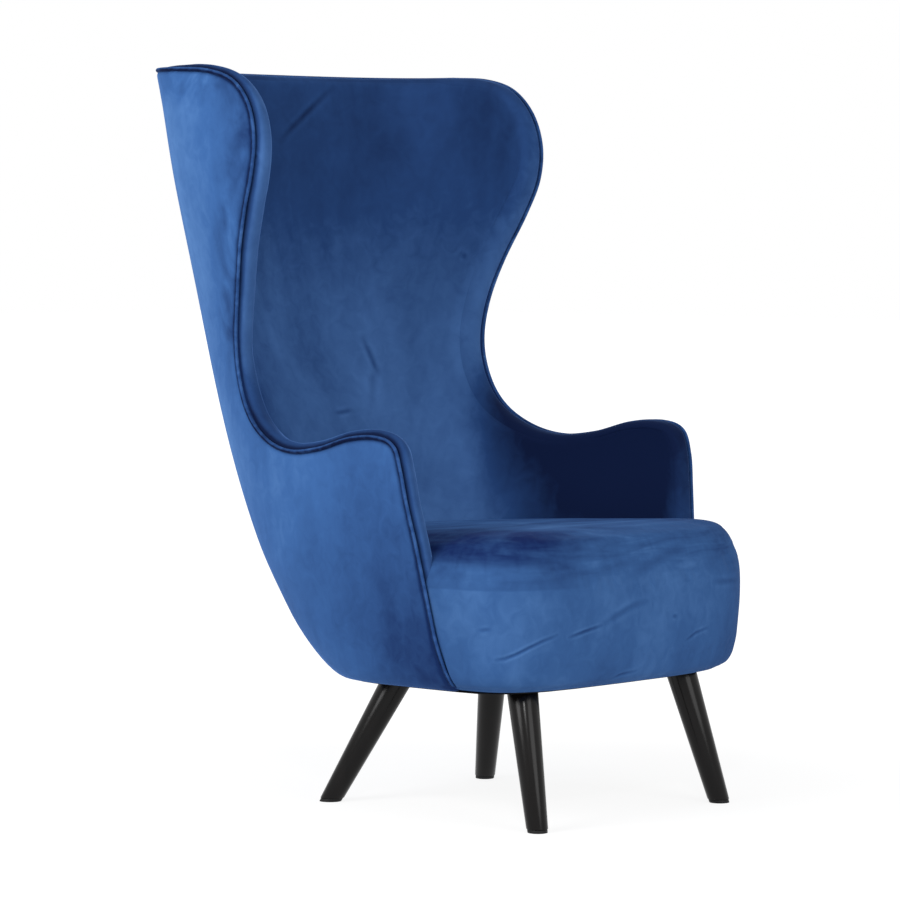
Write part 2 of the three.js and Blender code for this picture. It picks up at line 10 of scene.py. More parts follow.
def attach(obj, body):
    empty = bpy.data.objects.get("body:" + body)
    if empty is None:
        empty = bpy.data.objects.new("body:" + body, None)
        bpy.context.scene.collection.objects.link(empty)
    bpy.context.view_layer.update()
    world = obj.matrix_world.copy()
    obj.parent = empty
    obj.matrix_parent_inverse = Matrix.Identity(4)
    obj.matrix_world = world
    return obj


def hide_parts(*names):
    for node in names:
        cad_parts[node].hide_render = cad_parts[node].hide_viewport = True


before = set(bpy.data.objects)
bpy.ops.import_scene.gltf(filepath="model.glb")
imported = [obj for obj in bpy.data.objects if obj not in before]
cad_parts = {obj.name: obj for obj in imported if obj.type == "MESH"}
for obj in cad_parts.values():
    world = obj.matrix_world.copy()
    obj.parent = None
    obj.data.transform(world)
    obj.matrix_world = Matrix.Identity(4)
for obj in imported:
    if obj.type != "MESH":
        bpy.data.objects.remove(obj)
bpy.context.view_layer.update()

# Shape values of the chair, in metres, as in the part's source
RIM_HEIGHT = 1.288
HALF_WIDTH = 0.388
BACK_REACH = 0.470
FRONT_REACH = 0.470
OVERRUN = 0.060
PLAN_POWER = 2.7
CORNER_REACH = 0.65612
LEVELS = [0.178, 0.264, 0.357, 0.497, 0.683, 0.854, 1]
HALF_WIDTH_SHARES = [0.876, 0.897, 0.951, 1, 0.91, 0.985, 0.951]
BACK_REACH_SHARES = [0.247, 0.481, 0.657, 0.826, 0.979, 0.996, 1]
CORNER_REACH_SHARES = [0.42, 0.64, 0.823, 1, 0.747, 0.514, 0.265]
BASE_HEIGHT = 0.23197
TURN_HEIGHT = 0.10806
TURN_INSET = 0.036
LIP_WIDTH = 0.015
RIM_SHARES = np.array([
    (-0.632, 0.188), (-0.587, 0.262), (-0.56, 0.35), (-0.528, 0.422), (-0.508, 0.468),
    (-0.474, 0.5), (-0.385, 0.5105), (-0.25, 0.507), (-0.09, 0.492), (0.07, 0.486),
    (0.21, 0.496), (0.33, 0.522),
    (0.405, 0.56), (0.443, 0.613), (0.432, 0.67), (0.378, 0.74), (0.302, 0.806), (0.25, 0.855),
    (0.237, 0.903), (0.275, 0.948), (0.365, 0.981), (0.5, 0.996), (0.68, 1),
])
SHELL_DEPTH = 0.0083
PIPING_DEPTH = 0.0035
SIDE_WALL = 0.055
SIDE_WALL_SHARES = [0.72, 0.74, 0.76, 0.78, 0.92, 0.98, 0.76]
BACK_WALL = 0.088
BACK_WALL_SHARES = [0.8, 0.92, 1, 0.86, 0.7, 0.64, 0.58]
BAND_FOOT = 0.382
SEAT_HALF = 0.34105
SEAT_LINE = -0.28294
SEAT_POWER = 3.5
SEAT_BOTTOM = 0.24097
SEAT_RISE = 0.24214
SEAT_SWELL = 0.025
SEAT_CENTRE = -0.06016
SEAT_SLOPE = 0.045
SEAT_PIPING_DEPTH = 0.0085
SEAT_RIM_DEPTH = 0.0138
SEAT_SIDE_DEPTH = 0.0262
SEAT_UP = [0, 0.035, 0.12, 0.29, 0.49, 0.68, 0.8, 0.88, 0.94, 0.972, 0.988, 0.997, 1]
SEAT_OUT = [-1.15, -0.72, -0.38, -0.2, -0.04, 0, -0.12, -0.36, -0.36, -0.36, -0.36, -0.36, -0.36]
SEAT_SHARES = [1, 1, 1, 1, 1, 1, 1, 1, 0.965, 0.91, 0.78, 0.5, 0.2]
FOAM_BOTTOM = 0.3499
FRAME_HALF = 0.3004

# Steps along the rim: the arm's front corner, the waist, the wing's top corner, the end of
# the shares above, and the middle of the top
ARM_CORNER = 4.4
WAIST = 11.4
WING_CORNER = 19.6
RIM_END = 22.0
TOP_MIDDLE = 24.0

# Points closer than this are one
WELD = 1e-5
SKIN_WELD = 2e-5


def between(stations, values, at):
    """Smooth values at places between stations."""
    stations, values, at = (np.asarray(x, float) for x in (stations, values, at))
    slopes = np.gradient(values, stations)
    slopes[1:-1] = (values[2:] - values[:-2]) / (stations[2:] - stations[:-2])
    i = np.clip(np.searchsorted(stations, at) - 1, 0, len(stations) - 2)
    run = stations[i + 1] - stations[i]
    t = (at - stations[i]) / run
    rise = t * t * (3 - 2 * t)
    ends = slopes[i] * t * (1 - t) ** 2 - slopes[i + 1] * t * t * (1 - t)
    return values[i] + (values[i + 1] - values[i]) * rise + run * ends


def smooth(low, high, at):
    """0 below low, 1 above high, and an even rise between."""
    t = np.clip((np.asarray(at, float) - low) / (high - low), 0, 1)
    return t * t * (3 - 2 * t)


def hump(at, middle, width):
    """A soft bump of height 1 at the middle."""
    return np.exp(-(((np.asarray(at, float) - middle) / width) ** 2))


def back_at(height):
    """How far back the tub's outer face reaches at a height."""
    return BACK_REACH * between(LEVELS, BACK_REACH_SHARES, height / RIM_HEIGHT)


def still(value):
    """A depth that is the same at every height."""
    return lambda height: value + 0 * height


def round_corner(half, start, corner, angle):
    """Places on a plan's corner, from the side at 0 to the middle of the back at a quarter turn."""
    x = half * np.maximum(np.cos(angle), 0) ** (2 / PLAN_POWER)
    return x, start + corner * np.maximum(np.sin(angle), 0) ** (2 / PLAN_POWER)


def half_at(plan, y):
    """Half the width of a plan at places along Y."""
    half, start, corner = plan
    share = np.clip((y - start) / corner, 0, 1)
    return half * (1 - share ** PLAN_POWER) ** (1 / PLAN_POWER)


class Wall:
    """One face of the tub, a depth inside its outer face. A place on it is a height and the run
    along the plan from the middle of the back towards the front."""

    def __init__(self, side=still(0), back=still(0)):
        self.side, self.back = side, back

    def plan(self, height):
        """Half the width, and the start and the reach of the round corner behind it."""
        drop = np.clip((height - BASE_HEIGHT) / TURN_HEIGHT, 0, 1)
        turn = TURN_INSET * (1 - np.sin(np.arccos(1 - drop)))
        lean = np.hypot(1, (back_at(height + OVERRUN) - back_at(height - OVERRUN)) / (2 * OVERRUN))
        share = height / RIM_HEIGHT
        start = back_at(height) - CORNER_REACH * between(LEVELS, CORNER_REACH_SHARES, share)
        half = HALF_WIDTH * between(LEVELS, HALF_WIDTH_SHARES, share) - turn - self.side(height)
        return half, start, back_at(height) - start - turn - self.back(height) * lean

    def curve(self, height):
        """The plan at each height as points, with the run to each of them."""
        half, start, corner = (x[:, None] for x in self.plan(height))
        even = np.linspace(0, 1, 300)
        angle = math.pi / 2 * (1 - even + np.sin(2 * math.pi * even) / (2.2 * math.pi))
        x, y = round_corner(half, start, corner, angle)
        x = np.hstack([x, half])
        y = np.hstack([y, np.full_like(half, -2 * FRONT_REACH)])
        steps = np.hypot(np.diff(x, axis=1), np.diff(y, axis=1))
        return x, y, np.hstack([np.zeros_like(half), np.cumsum(steps, axis=1)])

    def place(self, run, height):
        """Where a run and a height are in the chair's frame."""
        x, y, length = self.curve(height)
        rows = np.arange(len(run))
        i = np.clip((length < run[:, None]).sum(axis=1) - 1, 0, length.shape[1] - 2)
        t = (run - length[rows, i]) / (length[rows, i + 1] - length[rows, i])
        across = x[rows, i] + t * (x[rows, i + 1] - x[rows, i])
        return np.stack([across, y[rows, i] + t * (y[rows, i + 1] - y[rows, i]), height], axis=1)

    def run_at(self, reach, height):
        """The run at which the plan comes to a place along Y."""
        _, y, length = self.curve(height)
        rows = np.arange(len(height))
        i = np.clip((y > reach[:, None]).sum(axis=1) - 1, 0, length.shape[1] - 2)
        t = (y[rows, i] - reach) / (y[rows, i] - y[rows, i + 1])
        return length[rows, i] + t * (length[rows, i + 1] - length[rows, i])

    def outward(self, run, height, level=False):
        """The way out of the face, or the level way out."""
        step = 0.001
        along = self.place(run + step, height) - self.place(run - step, height)
        up = self.place(run, height + step) - self.place(run, height - step)
        if level:
            up = np.tile([0, 0, 1.0], (len(run), 1))
        normal = np.cross(up, along)
        return normal / np.linalg.norm(normal, axis=1, keepdims=True)

    def rim(self):
        """The rim as runs and heights, over arm, waist and wing to the top's middle, and its
        steps."""
        steps = np.arange(0, RIM_END + 0.01, 0.05)
        reach, height = rim_place(steps)
        foot = np.linspace(BASE_HEIGHT, height[0], 6)[:-1]
        reach = np.concatenate([reach[0] - (height[0] - foot) / 2, reach])
        height = np.concatenate([foot, height])
        steps = np.concatenate([np.full_like(foot, -0.05), steps])
        run = self.run_at(reach, height)
        top = np.linspace(run[-1], 0, 80)[1:]
        height = np.append(height, np.full_like(top, RIM_HEIGHT))
        return (
            np.stack([np.concatenate([run, top]), height], axis=1),
            np.concatenate([steps, np.linspace(RIM_END, TOP_MIDDLE, 80)[1:]]),
        )


def rim_place(step):
    """The rim in the side view at a step: its reach and its height."""
    places = np.arange(len(RIM_SHARES))
    return (
        BACK_REACH * between(places, RIM_SHARES[:, 0], step),
        RIM_HEIGHT * between(places, RIM_SHARES[:, 1], step),
    )


def side_depth(height):
    """How thick the tub's side is at a height."""
    return SIDE_WALL * between(LEVELS, SIDE_WALL_SHARES, height / RIM_HEIGHT)


def back_depth(height):
    """How thick the tub's back is at a height."""
    return BACK_WALL * between(LEVELS, BACK_WALL_SHARES, height / RIM_HEIGHT)


# How the lining rolls over at its border, along the rim: tight at arm and wing, broad at the waist
ROLL_STEPS = [0, 8.5, 10.5, 13, 15.5, 17.5, 24]
ROLL_SIZES = [0.012, 0.013, 0.022, 0.032, 0.024, 0.014, 0.016]


def roll_size(step):
    return np.interp(step, ROLL_STEPS, ROLL_SIZES)


def along(line, shares):
    """Places on a line of points at shares of its length."""
    run = np.concatenate([[0], np.cumsum(np.linalg.norm(np.diff(line, axis=0), axis=1))])
    found = np.asarray(shares) * run[-1]
    return np.stack([np.interp(found, run, line[:, k]) for k in range(2)], axis=1)


def field(left, right, bottom, top, across, up):
    """Places between four edges, rows from the bottom up."""
    u, v = across[None, :, None], up[:, None, None]
    ruled = (1 - u) * left[:, None] + u * right[:, None] + (1 - v) * bottom[None] + v * top[None]
    low = (1 - u) * bottom[0] + u * bottom[-1]
    return ruled - (1 - v) * low - v * ((1 - u) * top[0] + u * top[-1])


def closer(count, power=1.6):
    """Shares from 0 to 1 that start close together."""
    return np.linspace(0, 1, count + 1) ** power


def wall_fields(wall):
    """The wall as two fields of runs and heights: below the waist's level and above it."""
    rim, steps = wall.rim()
    waist = np.argmin(abs(steps - WAIST))
    corner = np.argmin(abs(steps - ARM_CORNER))
    wing = np.argmin(abs(steps - WING_CORNER))
    level = np.stack([np.linspace(rim[waist, 0], 0, 60), np.full(60, rim[waist, 1])], axis=1)
    arm_share, split = closer(46, 1.25), 0.5
    level_share = closer(50)
    across = np.concatenate([arm_share * split, split + level_share[1:] * (1 - split)])
    top = np.concatenate([along(rim[corner:waist + 1], arm_share), along(level, level_share)[1:]])

    turn = BASE_HEIGHT + TURN_HEIGHT * (1 - np.cos(np.linspace(0, math.pi / 2, 12)))
    rise = 1 - closer(44)[::-1]

    def heights(end):
        above = rise[1:] * (end - BASE_HEIGHT - TURN_HEIGHT)
        return np.concatenate([turn, BASE_HEIGHT + TURN_HEIGHT + above])

    left_height, right_height = heights(rim[corner, 1]), heights(rim[waist, 1])
    front = rim[:corner + 1]
    left = np.stack([np.interp(left_height, front[:, 1], front[:, 0]), left_height], axis=1)
    right = np.stack([0 * right_height, right_height], axis=1)
    rim_foot = rim_place(0)[0] - 0.005
    base_run = wall.run_at(np.array([rim_foot]), np.array([BASE_HEIGHT]))[0]
    left[0, 0] = base_run
    bottom = np.stack([base_run * (1 - across), np.full_like(across, BASE_HEIGHT)], axis=1)
    up = (left_height - BASE_HEIGHT) / (left_height[-1] - BASE_HEIGHT)
    up = (up + (right_height - BASE_HEIGHT) / (right_height[-1] - BASE_HEIGHT)) / 2
    lower = field(left, right, bottom, top, across, up)

    rows = 1 - closer(50)[::-1]
    left = along(rim[waist:wing + 1], rows)
    right = np.stack([0 * rows, rim[waist, 1] + rows * (RIM_HEIGHT - rim[waist, 1])], axis=1)
    upper_top = along(rim[wing:], level_share)
    upper = field(left, right, along(level, level_share), upper_top, level_share, rows)
    return lower, upper


def nearest(points, line, steps):
    """For each point the distance to a line, and the step of the nearest place on it."""
    gaps, found = [], []
    way = np.diff(line, axis=0)
    for part in np.array_split(points.reshape(-1, line.shape[1]), 12):
        off = part[:, None] - line[None, :-1]
        share = np.clip((off * way).sum(axis=2) / (way * way).sum(axis=1), 0, 1)
        apart = np.linalg.norm(off - share[..., None] * way, axis=2)
        first = apart.argmin(axis=1)
        part_share = share[np.arange(len(first)), first]
        gaps.append(apart.min(axis=1))
        found.append(steps[first] + (steps[first + 1] - steps[first]) * part_share)
    return np.concatenate(gaps), np.concatenate(found)


def add_grid(bm, places, **marks):
    """A grid with its points at the given places, and marks on them that materials read."""
    rows, columns = places.shape[:2]
    known = bm.verts.layers.float
    layers = {name: known.get(name) or known.new(name) for name in marks}
    made = bmesh.ops.create_grid(bm, x_segments=columns - 1, y_segments=rows - 1, size=1)
    for vert in made["verts"]:
        row = round((vert.co.y + 1) / 2 * (rows - 1))
        column = round((vert.co.x + 1) / 2 * (columns - 1))
        vert.co = places[row, column]
        for name, values in marks.items():
            vert[layers[name]] = values[row, column]


def close_holes(bm):
    bmesh.ops.holes_fill(bm, edges=[edge for edge in bm.edges if edge.is_boundary], sides=0)


def add_tube(bm, rings, **marks):
    """A closed skin over a row of rings."""
    def closed(values):
        return np.concatenate([values, values[:, :1]], axis=1)

    add_grid(bm, closed(rings), **{name: closed(values) for name, values in marks.items()})
    bmesh.ops.remove_doubles(bm, verts=bm.verts, dist=WELD)
    close_holes(bm)
    bmesh.ops.recalc_face_normals(bm, faces=bm.faces)


# How far from a crease the faces are made finer, the shortest edge that is cut there, and how
# much painted shade a crease gets for each metre of its depth
CREASE_REACHES = (0.018, 0.011)
SHORTEST_CUT = 0.0025
CREASE_PAINTED_SHADE = 330


def press(bm, creases):
    """Presses creases into a skin, given as depth, width and a line of places, and paints shade in
    them.
    """
    mark = bm.verts.layers.float["edge"]
    lines = [
        (depth, width, np.array(line), np.linspace(0, 1, len(line)))
        for depth, width, line in creases
    ]
    for reach in CREASE_REACHES:
        centres = np.array([face.calc_center_median()[:] for face in bm.faces])
        gaps = np.min([nearest(centres, line, steps)[0] for _, _, line, steps in lines], axis=0)
        close = [face for face, gap in zip(bm.faces, gaps) if gap < reach]
        close = dict.fromkeys(edge for face in close for edge in face.edges)
        close = [edge for edge in close if edge.calc_length() > SHORTEST_CUT]
        bmesh.ops.subdivide_edges(bm, edges=close, cuts=1, use_grid_fill=True)
    bm.normal_update()
    verts = list(bm.verts)
    places = np.array([vert.co[:] for vert in verts])
    for depth, width, line, steps in lines:
        gaps, place = nearest(places, line, steps)
        fade = np.sin(math.pi * np.clip(place, 0.03, 0.97)) ** 0.6
        dips = fade * (hump(gaps, 0, width) - 0.35 * hump(gaps, 2 * width, width))
        for i in np.flatnonzero(abs(dips) > 0.01):
            verts[i].co -= verts[i].normal * depth * dips[i]
            # Painted shade in the crease, and painted light on the low ridge beside it
            verts[i][mark] += dips[i] * depth * CREASE_PAINTED_SHADE


def add_object(name, data):
    made = bpy.data.objects.new(name, data)
    bpy.context.scene.collection.objects.link(made)
    return made


def add_mesh(name, bm):
    mesh = bpy.data.meshes.new(name)
    bm.to_mesh(mesh)
    return add_object(name, mesh)


def piece(name, bm, material, nodes=(), thickness=None):
    """A shown piece of the chair from a bmesh, in place of CAD nodes."""
    made = add_mesh(name, bm)
    bm.free()
    made.data.polygons.foreach_set("use_smooth", [True] * len(made.data.polygons))
    made.data.materials.append(material)
    if thickness:
        wall = made.modifiers.new("thickness", "SOLIDIFY")
        wall.thickness = thickness
        wall.offset = -1
    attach(made, "root")
    if nodes:
        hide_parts(*nodes)
    return made


def wall_skin(wall, shift, rim_shade_mark):
    """The right half of a face of the tub. shift gives how far each place moves out, and
    the third function the painted shade that each place gets by the rim."""
    bm = bmesh.new()
    rim, steps = wall.rim()
    for part in wall_fields(wall):
        run, height = part[..., 0].ravel(), part[..., 1].ravel()
        gap, step = nearest(part, rim, steps)
        places = wall.place(run, height)
        places += wall.outward(run, height) * shift(run, height, gap, step)[:, None]
        places[run < 1e-6, 0] = 0
        marks = {"edge": rim_shade_mark(gap, step), "border": smooth(0.08, 0.01, gap)}
        marks = {name: values.reshape(part.shape[:2]) for name, values in marks.items()}
        add_grid(bm, places.reshape(*part.shape[:2], 3), **marks)
    bmesh.ops.remove_doubles(bm, verts=bm.verts, dist=SKIN_WELD)
    return bm


def mirror_skin(bm, flip):
    """Adds the other half. Faces look out of the tub, or into it where flip is set."""
    half = bm.verts[:] + bm.edges[:] + bm.faces[:]
    bmesh.ops.mirror(bm, geom=half, matrix=Matrix(), merge_dist=SKIN_WELD, axis="X")
    bmesh.ops.remove_doubles(bm, verts=bm.verts, dist=SKIN_WELD)
    bmesh.ops.recalc_face_normals(bm, faces=bm.faces)
    bm.faces.ensure_lookup_table()
    rear = max(bm.faces, key=lambda face: face.calc_center_median().y)
    if (rear.normal.y < 0) != flip:
        bmesh.ops.reverse_faces(bm, faces=bm.faces)


def rolled(gap, size):
    """Depth of a round edge at a distance from its line."""
    inside = np.clip(size - gap, 0, size)
    return size - np.sqrt(size ** 2 - inside ** 2)


# Materials


def tint(red, green, blue):
    """A colour as seen, 0 to 255, as the shader's linear colour."""
    seen = [c / 255 for c in (red, green, blue)]
    return [c / 12.92 if c < 0.04045 else ((c + 0.055) / 1.055) ** 2.4 for c in seen] + [1]


class Value:
    """A number that varies over a surface. Arithmetic on it adds Math nodes."""

    def __init__(self, graph, socket):
        self.graph, self.socket = graph, socket

    def math(self, operation, first, second=0.0):
        node = self.graph.node("ShaderNodeMath", {"operation": operation}, {0: first, 1: second})
        return Value(self.graph, node.outputs[0])

    def __add__(self, other):
        return self.math("ADD", self, other)

    def __sub__(self, other):
        return self.math("SUBTRACT", self, other)

    def __rsub__(self, other):
        return self.math("SUBTRACT", other, self)

    def __mul__(self, other):
        return self.math("MULTIPLY", self, other)

    def __abs__(self):
        return self.math("ABSOLUTE", self)

    __radd__ = __add__
    __rmul__ = __mul__

    def larger(self, other):
        return self.math("MAXIMUM", self, other)

    def rise(self, low, high):
        """0 at low, 1 at high, and an even rise between."""
        node = self.graph.node(
            "ShaderNodeMapRange",
            {"interpolation_type": "SMOOTHSTEP"},
            {"Value": self, "From Min": low, "From Max": high},
        )
        return Value(self.graph, node.outputs[0])

    def line(self, middle, width):
        """1 at the middle, falling to 0 at a width from it."""
        return abs(self - middle).rise(width, 0.0)


class Graph:
    """A node tree that starts empty."""

    def __init__(self, tree):
        self.tree = tree
        tree.nodes.clear()

    def node(self, kind, settings=None, values=None):
        """A new node with its settings, and with values or sockets on its inputs."""
        node = self.tree.nodes.new(kind)
        for key, value in (settings or {}).items():
            if key == "stops":
                while len(node.color_ramp.elements) < len(value):
                    node.color_ramp.elements.new(0.5)
                for stop, (place, colour) in zip(node.color_ramp.elements, value):
                    stop.position, stop.color = place, colour
            else:
                setattr(node, key, value)
        for key, value in (values or {}).items():
            value = value.socket if isinstance(value, Value) else value
            if isinstance(value, bpy.types.NodeSocket):
                self.tree.links.new(value, node.inputs[key])
            else:
                node.inputs[key].default_value = value
        return node

    def seen(self):
        """1 for the rays that show the studio itself, 0 for those that only bring its light."""
        path = self.node("ShaderNodeLightPath")
        camera, glossy, through = (
            Value(self, path.outputs[name])
            for name in ("Is Camera Ray", "Is Glossy Ray", "Is Transmission Ray")
        )
        return camera.larger(glossy).larger(through)


class Look(Graph):
    """A material with one surface shader."""

    def __init__(self, name, **constants):
        self.material = bpy.data.materials.new(name)
        self.material.use_nodes = True
        super().__init__(self.material.node_tree)
        values = {key.replace("_", " "): value for key, value in constants.items()}
        self.shader = self.node("ShaderNodeBsdfPrincipled", {}, values)
        surface = {"Surface": self.shader.outputs[0]}
        self.output = self.node("ShaderNodeOutputMaterial", {}, surface)
        self.object = self.node("ShaderNodeTexCoord").outputs["Object"]

    def give(self, **values):
        """Varying values for the shader's inputs."""
        for key, value in values.items():
            value = value.socket if isinstance(value, Value) else value
            self.tree.links.new(value, self.shader.inputs[key.replace("_", " ")])

    def axes(self):
        """The chair's x, y and z."""
        parts = self.node("ShaderNodeSeparateXYZ", {}, {"Vector": self.object})
        return [Value(self, socket) for socket in parts.outputs]

    def noise(self, scale, detail=2.0, stretch=(1, 1, 1), warp=0.0, shift=(0, 0, 0)):
        """Clouds of 0 to 1, stretched along an axis by a scale under 1 there."""
        values = {"Vector": self.object, "Scale": stretch, "Location": shift}
        place = self.node("ShaderNodeMapping", {}, values).outputs[0]
        values = {"Vector": place, "Scale": scale, "Detail": detail, "Distortion": warp}
        return Value(self, self.node("ShaderNodeTexNoise", {}, values).outputs[0])

    def mark(self, name):
        """A value that the piece carries on its points."""
        node = self.node("ShaderNodeAttribute", {"attribute_name": name})
        return Value(self, node.outputs["Fac"])

    def ramp(self, value, *stops):
        """A colour between stops, each a place and a colour."""
        return self.node("ShaderNodeValToRGB", {"stops": stops}, {"Fac": value}).outputs[0]

    def bump(self, height, strength, distance):
        """Fine relief in the shading, distance metres deep."""
        values = {"Height": height, "Strength": strength, "Distance": distance}
        node = self.node("ShaderNodeBump", {}, values)
        self.tree.links.new(node.outputs[0], self.shader.inputs["Normal"])


def velvet(name, deep, middle, pale, shade, lift):
    """Short-pile velvet: clouds and strokes where the pile lies another way, and fine fibre,
    with the piece's painted light and shade.
    """
    look = Look(
        name,
        Roughness=0.85,
        Specular_IOR_Level=0.07,
        Sheen_Weight=0.45 * lift,
        Sheen_Roughness=0.32,
        Sheen_Tint=tint(110, 160, 238),
    )
    clouds = look.noise(2.6, 3, (1, 1, 0.8), 0.5)
    strokes = look.noise(9, 3, (1, 1, 0.4), 1.0, (3, 1, 7))
    mottle = look.noise(42, 3, (1, 1, 0.9), 0.8)
    fibre = look.noise(1400, 2)
    nap = clouds * 0.52 + strokes * 0.26 + mottle * 0.16 + fibre * 0.06
    # Painted light and shade from the piece's own function, then from its marks: painted shade in
    # seams, creases and along the rim, painted highlight where a mark is below 0
    nap = nap + shade(look) - look.mark("edge") * 0.5
    colour = look.ramp(nap, (0.1, tint(*deep)), (0.5, tint(*middle)), (0.9, tint(*pale)))
    look.give(Base_Color=colour)
    look.bump(mottle * 0.5 + strokes * 0.3 + fibre * 0.25, 0.3, 0.001)
    return look.material


def cover_painted_shading(look):
    """Painted light towards the top and the back, painted shade low at the front, and darker
    in patches by the rim.
    """
    _, y, z = look.axes()
    # Painted shade low at the front; painted light to the back, at mid height behind and low behind
    low = z.rise(0.6, 0.24) * y.rise(0.0, -0.3) * 0.15
    clouds = look.noise(13, 3, (1, 1, 0.7), 0.8, (4, 2, 6))
    patches = (clouds - 0.42) * look.mark("border") * z.rise(0.6, 0.8)
    back = y.rise(0.1, 0.4) * 0.22
    flank = z.line(0.5, 0.3) * y.rise(-0.1, 0.15) * 0.2
    foot = z.rise(0.36, 0.25) * y.rise(-0.3, -0.1) * 0.12
    return z.rise(0.25, 1.2) * 0.09 + (back + flank + foot) - 0.155 - low - patches * 0.9


def inside(z, y, aside):
    """Painted shade under the top and inside an arm, painted light at the waist."""
    arm = aside.rise(0.24, 0.335) * z.rise(0.8, 0.62) * y.rise(-0.34, -0.18)
    return z.rise(1.25, 0.8) * 0.24 + z.rise(0.75, 0.5) * 0.06 - 0.07 - arm * 0.72


def inner_painted_shading(look):
    """Painted shade inside both arms, and a painted shadow in the corner by the left waist."""
    x, y, z = look.axes()
    return inside(z, y, abs(x)) - x.line(-0.19, 0.12) * z.line(0.69, 0.26) * 0.17


def band_painted_shading(look):
    """As the lining's painted light and shade, without the painted shade inside the arm on the
    left.
    """
    x, y, z = look.axes()
    return inside(z, y, x)


def piping_painted_shading(look):
    """Uneven along the cord: painted light and shade of the puckers in its cloth."""
    return (look.noise(55, 3, (1, 1, 1), 0.5, (7, 7, 3)) - 0.5) * 0.55


def seat_painted_shading(look):
    """Painted shade over the top in brushed streaks, most at its left, and even down the front
    but for painted shade to its right and low.
    """
    x, y, z = look.axes()
    brush = look.noise(7, 4, (0.35, 1.2, 1), 1.2, (2, 5, 1))
    streak = look.noise(16, 4, (0.45, 0.6, 3), 0.8, (1, 3, 2))
    # Painted shade on the top, its lower edge broken up by the streaks
    top = (z + brush * 0.03 + streak * 0.02).rise(0.466, 0.496)
    nap = (z + brush * 0.006).rise(0.409, 0.414) * x.rise(-0.12, -0.26)
    left = x.rise(-0.08, -0.33)
    patches = (brush + streak - 1.0) * z.rise(0.40, 0.46) * 0.6
    # Painted shade to the right and low at the front
    right = x.rise(-0.05, 0.3) * 0.15
    foot = z.rise(0.36, 0.25) * 0.05
    return 0.04 - top * (0.05 + left * 0.27) + patches - nap * 0.08 - right - foot


def leg_paint():
    """Black satin paint over turned wood."""
    look = Look("black_satin", Specular_IOR_Level=0.2)
    grain = look.noise(60, 4, (1, 1, 0.06), 0.4)
    wear = look.noise(220, 3)
    look.give(
        Base_Color=look.ramp(grain * 0.8 + wear * 0.2, (0.3, tint(3, 2, 2)), (0.7, tint(12, 9, 9))),
        Roughness=grain * 0.06 + wear * 0.04 + 0.15,
    )
    look.bump(grain, 0.05, 0.0006)
    return look.material


def timber():
    """Plain sawn wood, its grain along the height."""
    look = Look("plain_timber", Specular_IOR_Level=0.3)
    grain = look.noise(9, 5, (1, 1, 14), 1.5)
    fine = look.noise(150, 3, (0.1, 1, 1))
    dark, middle, light = tint(160, 118, 72), tint(190, 150, 100), tint(212, 178, 130)
    look.give(
        Base_Color=look.ramp(grain, (0.3, dark), (0.5, middle), (0.7, light)),
        Roughness=fine * 0.2 + 0.55,
    )
    look.bump(grain * 0.4 + fine * 0.6, 0.2, 0.0008)
    return look.material


def steel():
    """Zinc-plated steel."""
    look = Look("zinc_steel", Metallic=1.0)
    spangle = look.noise(90, 3)
    look.give(
        Base_Color=look.ramp(spangle, (0.3, tint(142, 146, 150)), (0.7, tint(186, 189, 192))),
        Roughness=spangle * 0.25 + 0.22,
    )
    look.bump(spangle, 0.08, 0.0004)
    return look.material


def plain(name, dark, light, scale, rough, strength, stretch=(1, 1, 1)):
    """A matt finish with its own grain: felt, cloth, moulded foam or nylon."""
    look = Look(name, Specular_IOR_Level=0.2)
    grain = look.noise(scale, 4, stretch)
    broad = look.noise(scale / 14, 3)
    look.give(
        Base_Color=look.ramp(grain * 0.6 + broad * 0.4, (0.3, tint(*dark)), (0.7, tint(*light))),
        Roughness=grain * 0.15 + rough,
    )
    look.bump(grain, strength, 0.0008)
    return look.material


# One velvet in copies of its colours: the cover's paler with painted light, the lining's and the
# band's darker with painted shade inside the tub, the seat's and the piping's between
lit_cover_colours = (20, 42, 88), (58, 99, 158), (104, 150, 208)
shaded_inner_colours = (12, 26, 60), (38, 69, 120), (80, 122, 182)
seat_colours = (14, 34, 84), (53, 90, 143), (94, 138, 196)
piping_colours = (6, 18, 52), (42, 76, 130), (86, 130, 190)
cover_velvet = velvet("velvet_cover", *lit_cover_colours, cover_painted_shading, 1.3)
inner_velvet = velvet("velvet_inner", *shaded_inner_colours, inner_painted_shading, 1.0)
band_velvet = velvet("velvet_band", *shaded_inner_colours, band_painted_shading, 1.0)
seat_velvet = velvet("velvet_seat", *seat_colours, seat_painted_shading, 0.2)
piping_velvet = velvet("velvet_piping", *piping_colours, piping_painted_shading, 0.6)

# Outer cover: its round edge by the piping, the painted shadow in the seam there, and its lip below
COVER_ROLL = 0.012
COVER_ROLL_DEPTH = 0.006
COVER_SEAM_SHADOW = 0.0045
COVER_THICKNESS = 0.006
outer = Wall()


def cover_shift(run, height, gap, step):
    return -np.minimum(rolled(gap, COVER_ROLL), COVER_ROLL_DEPTH)


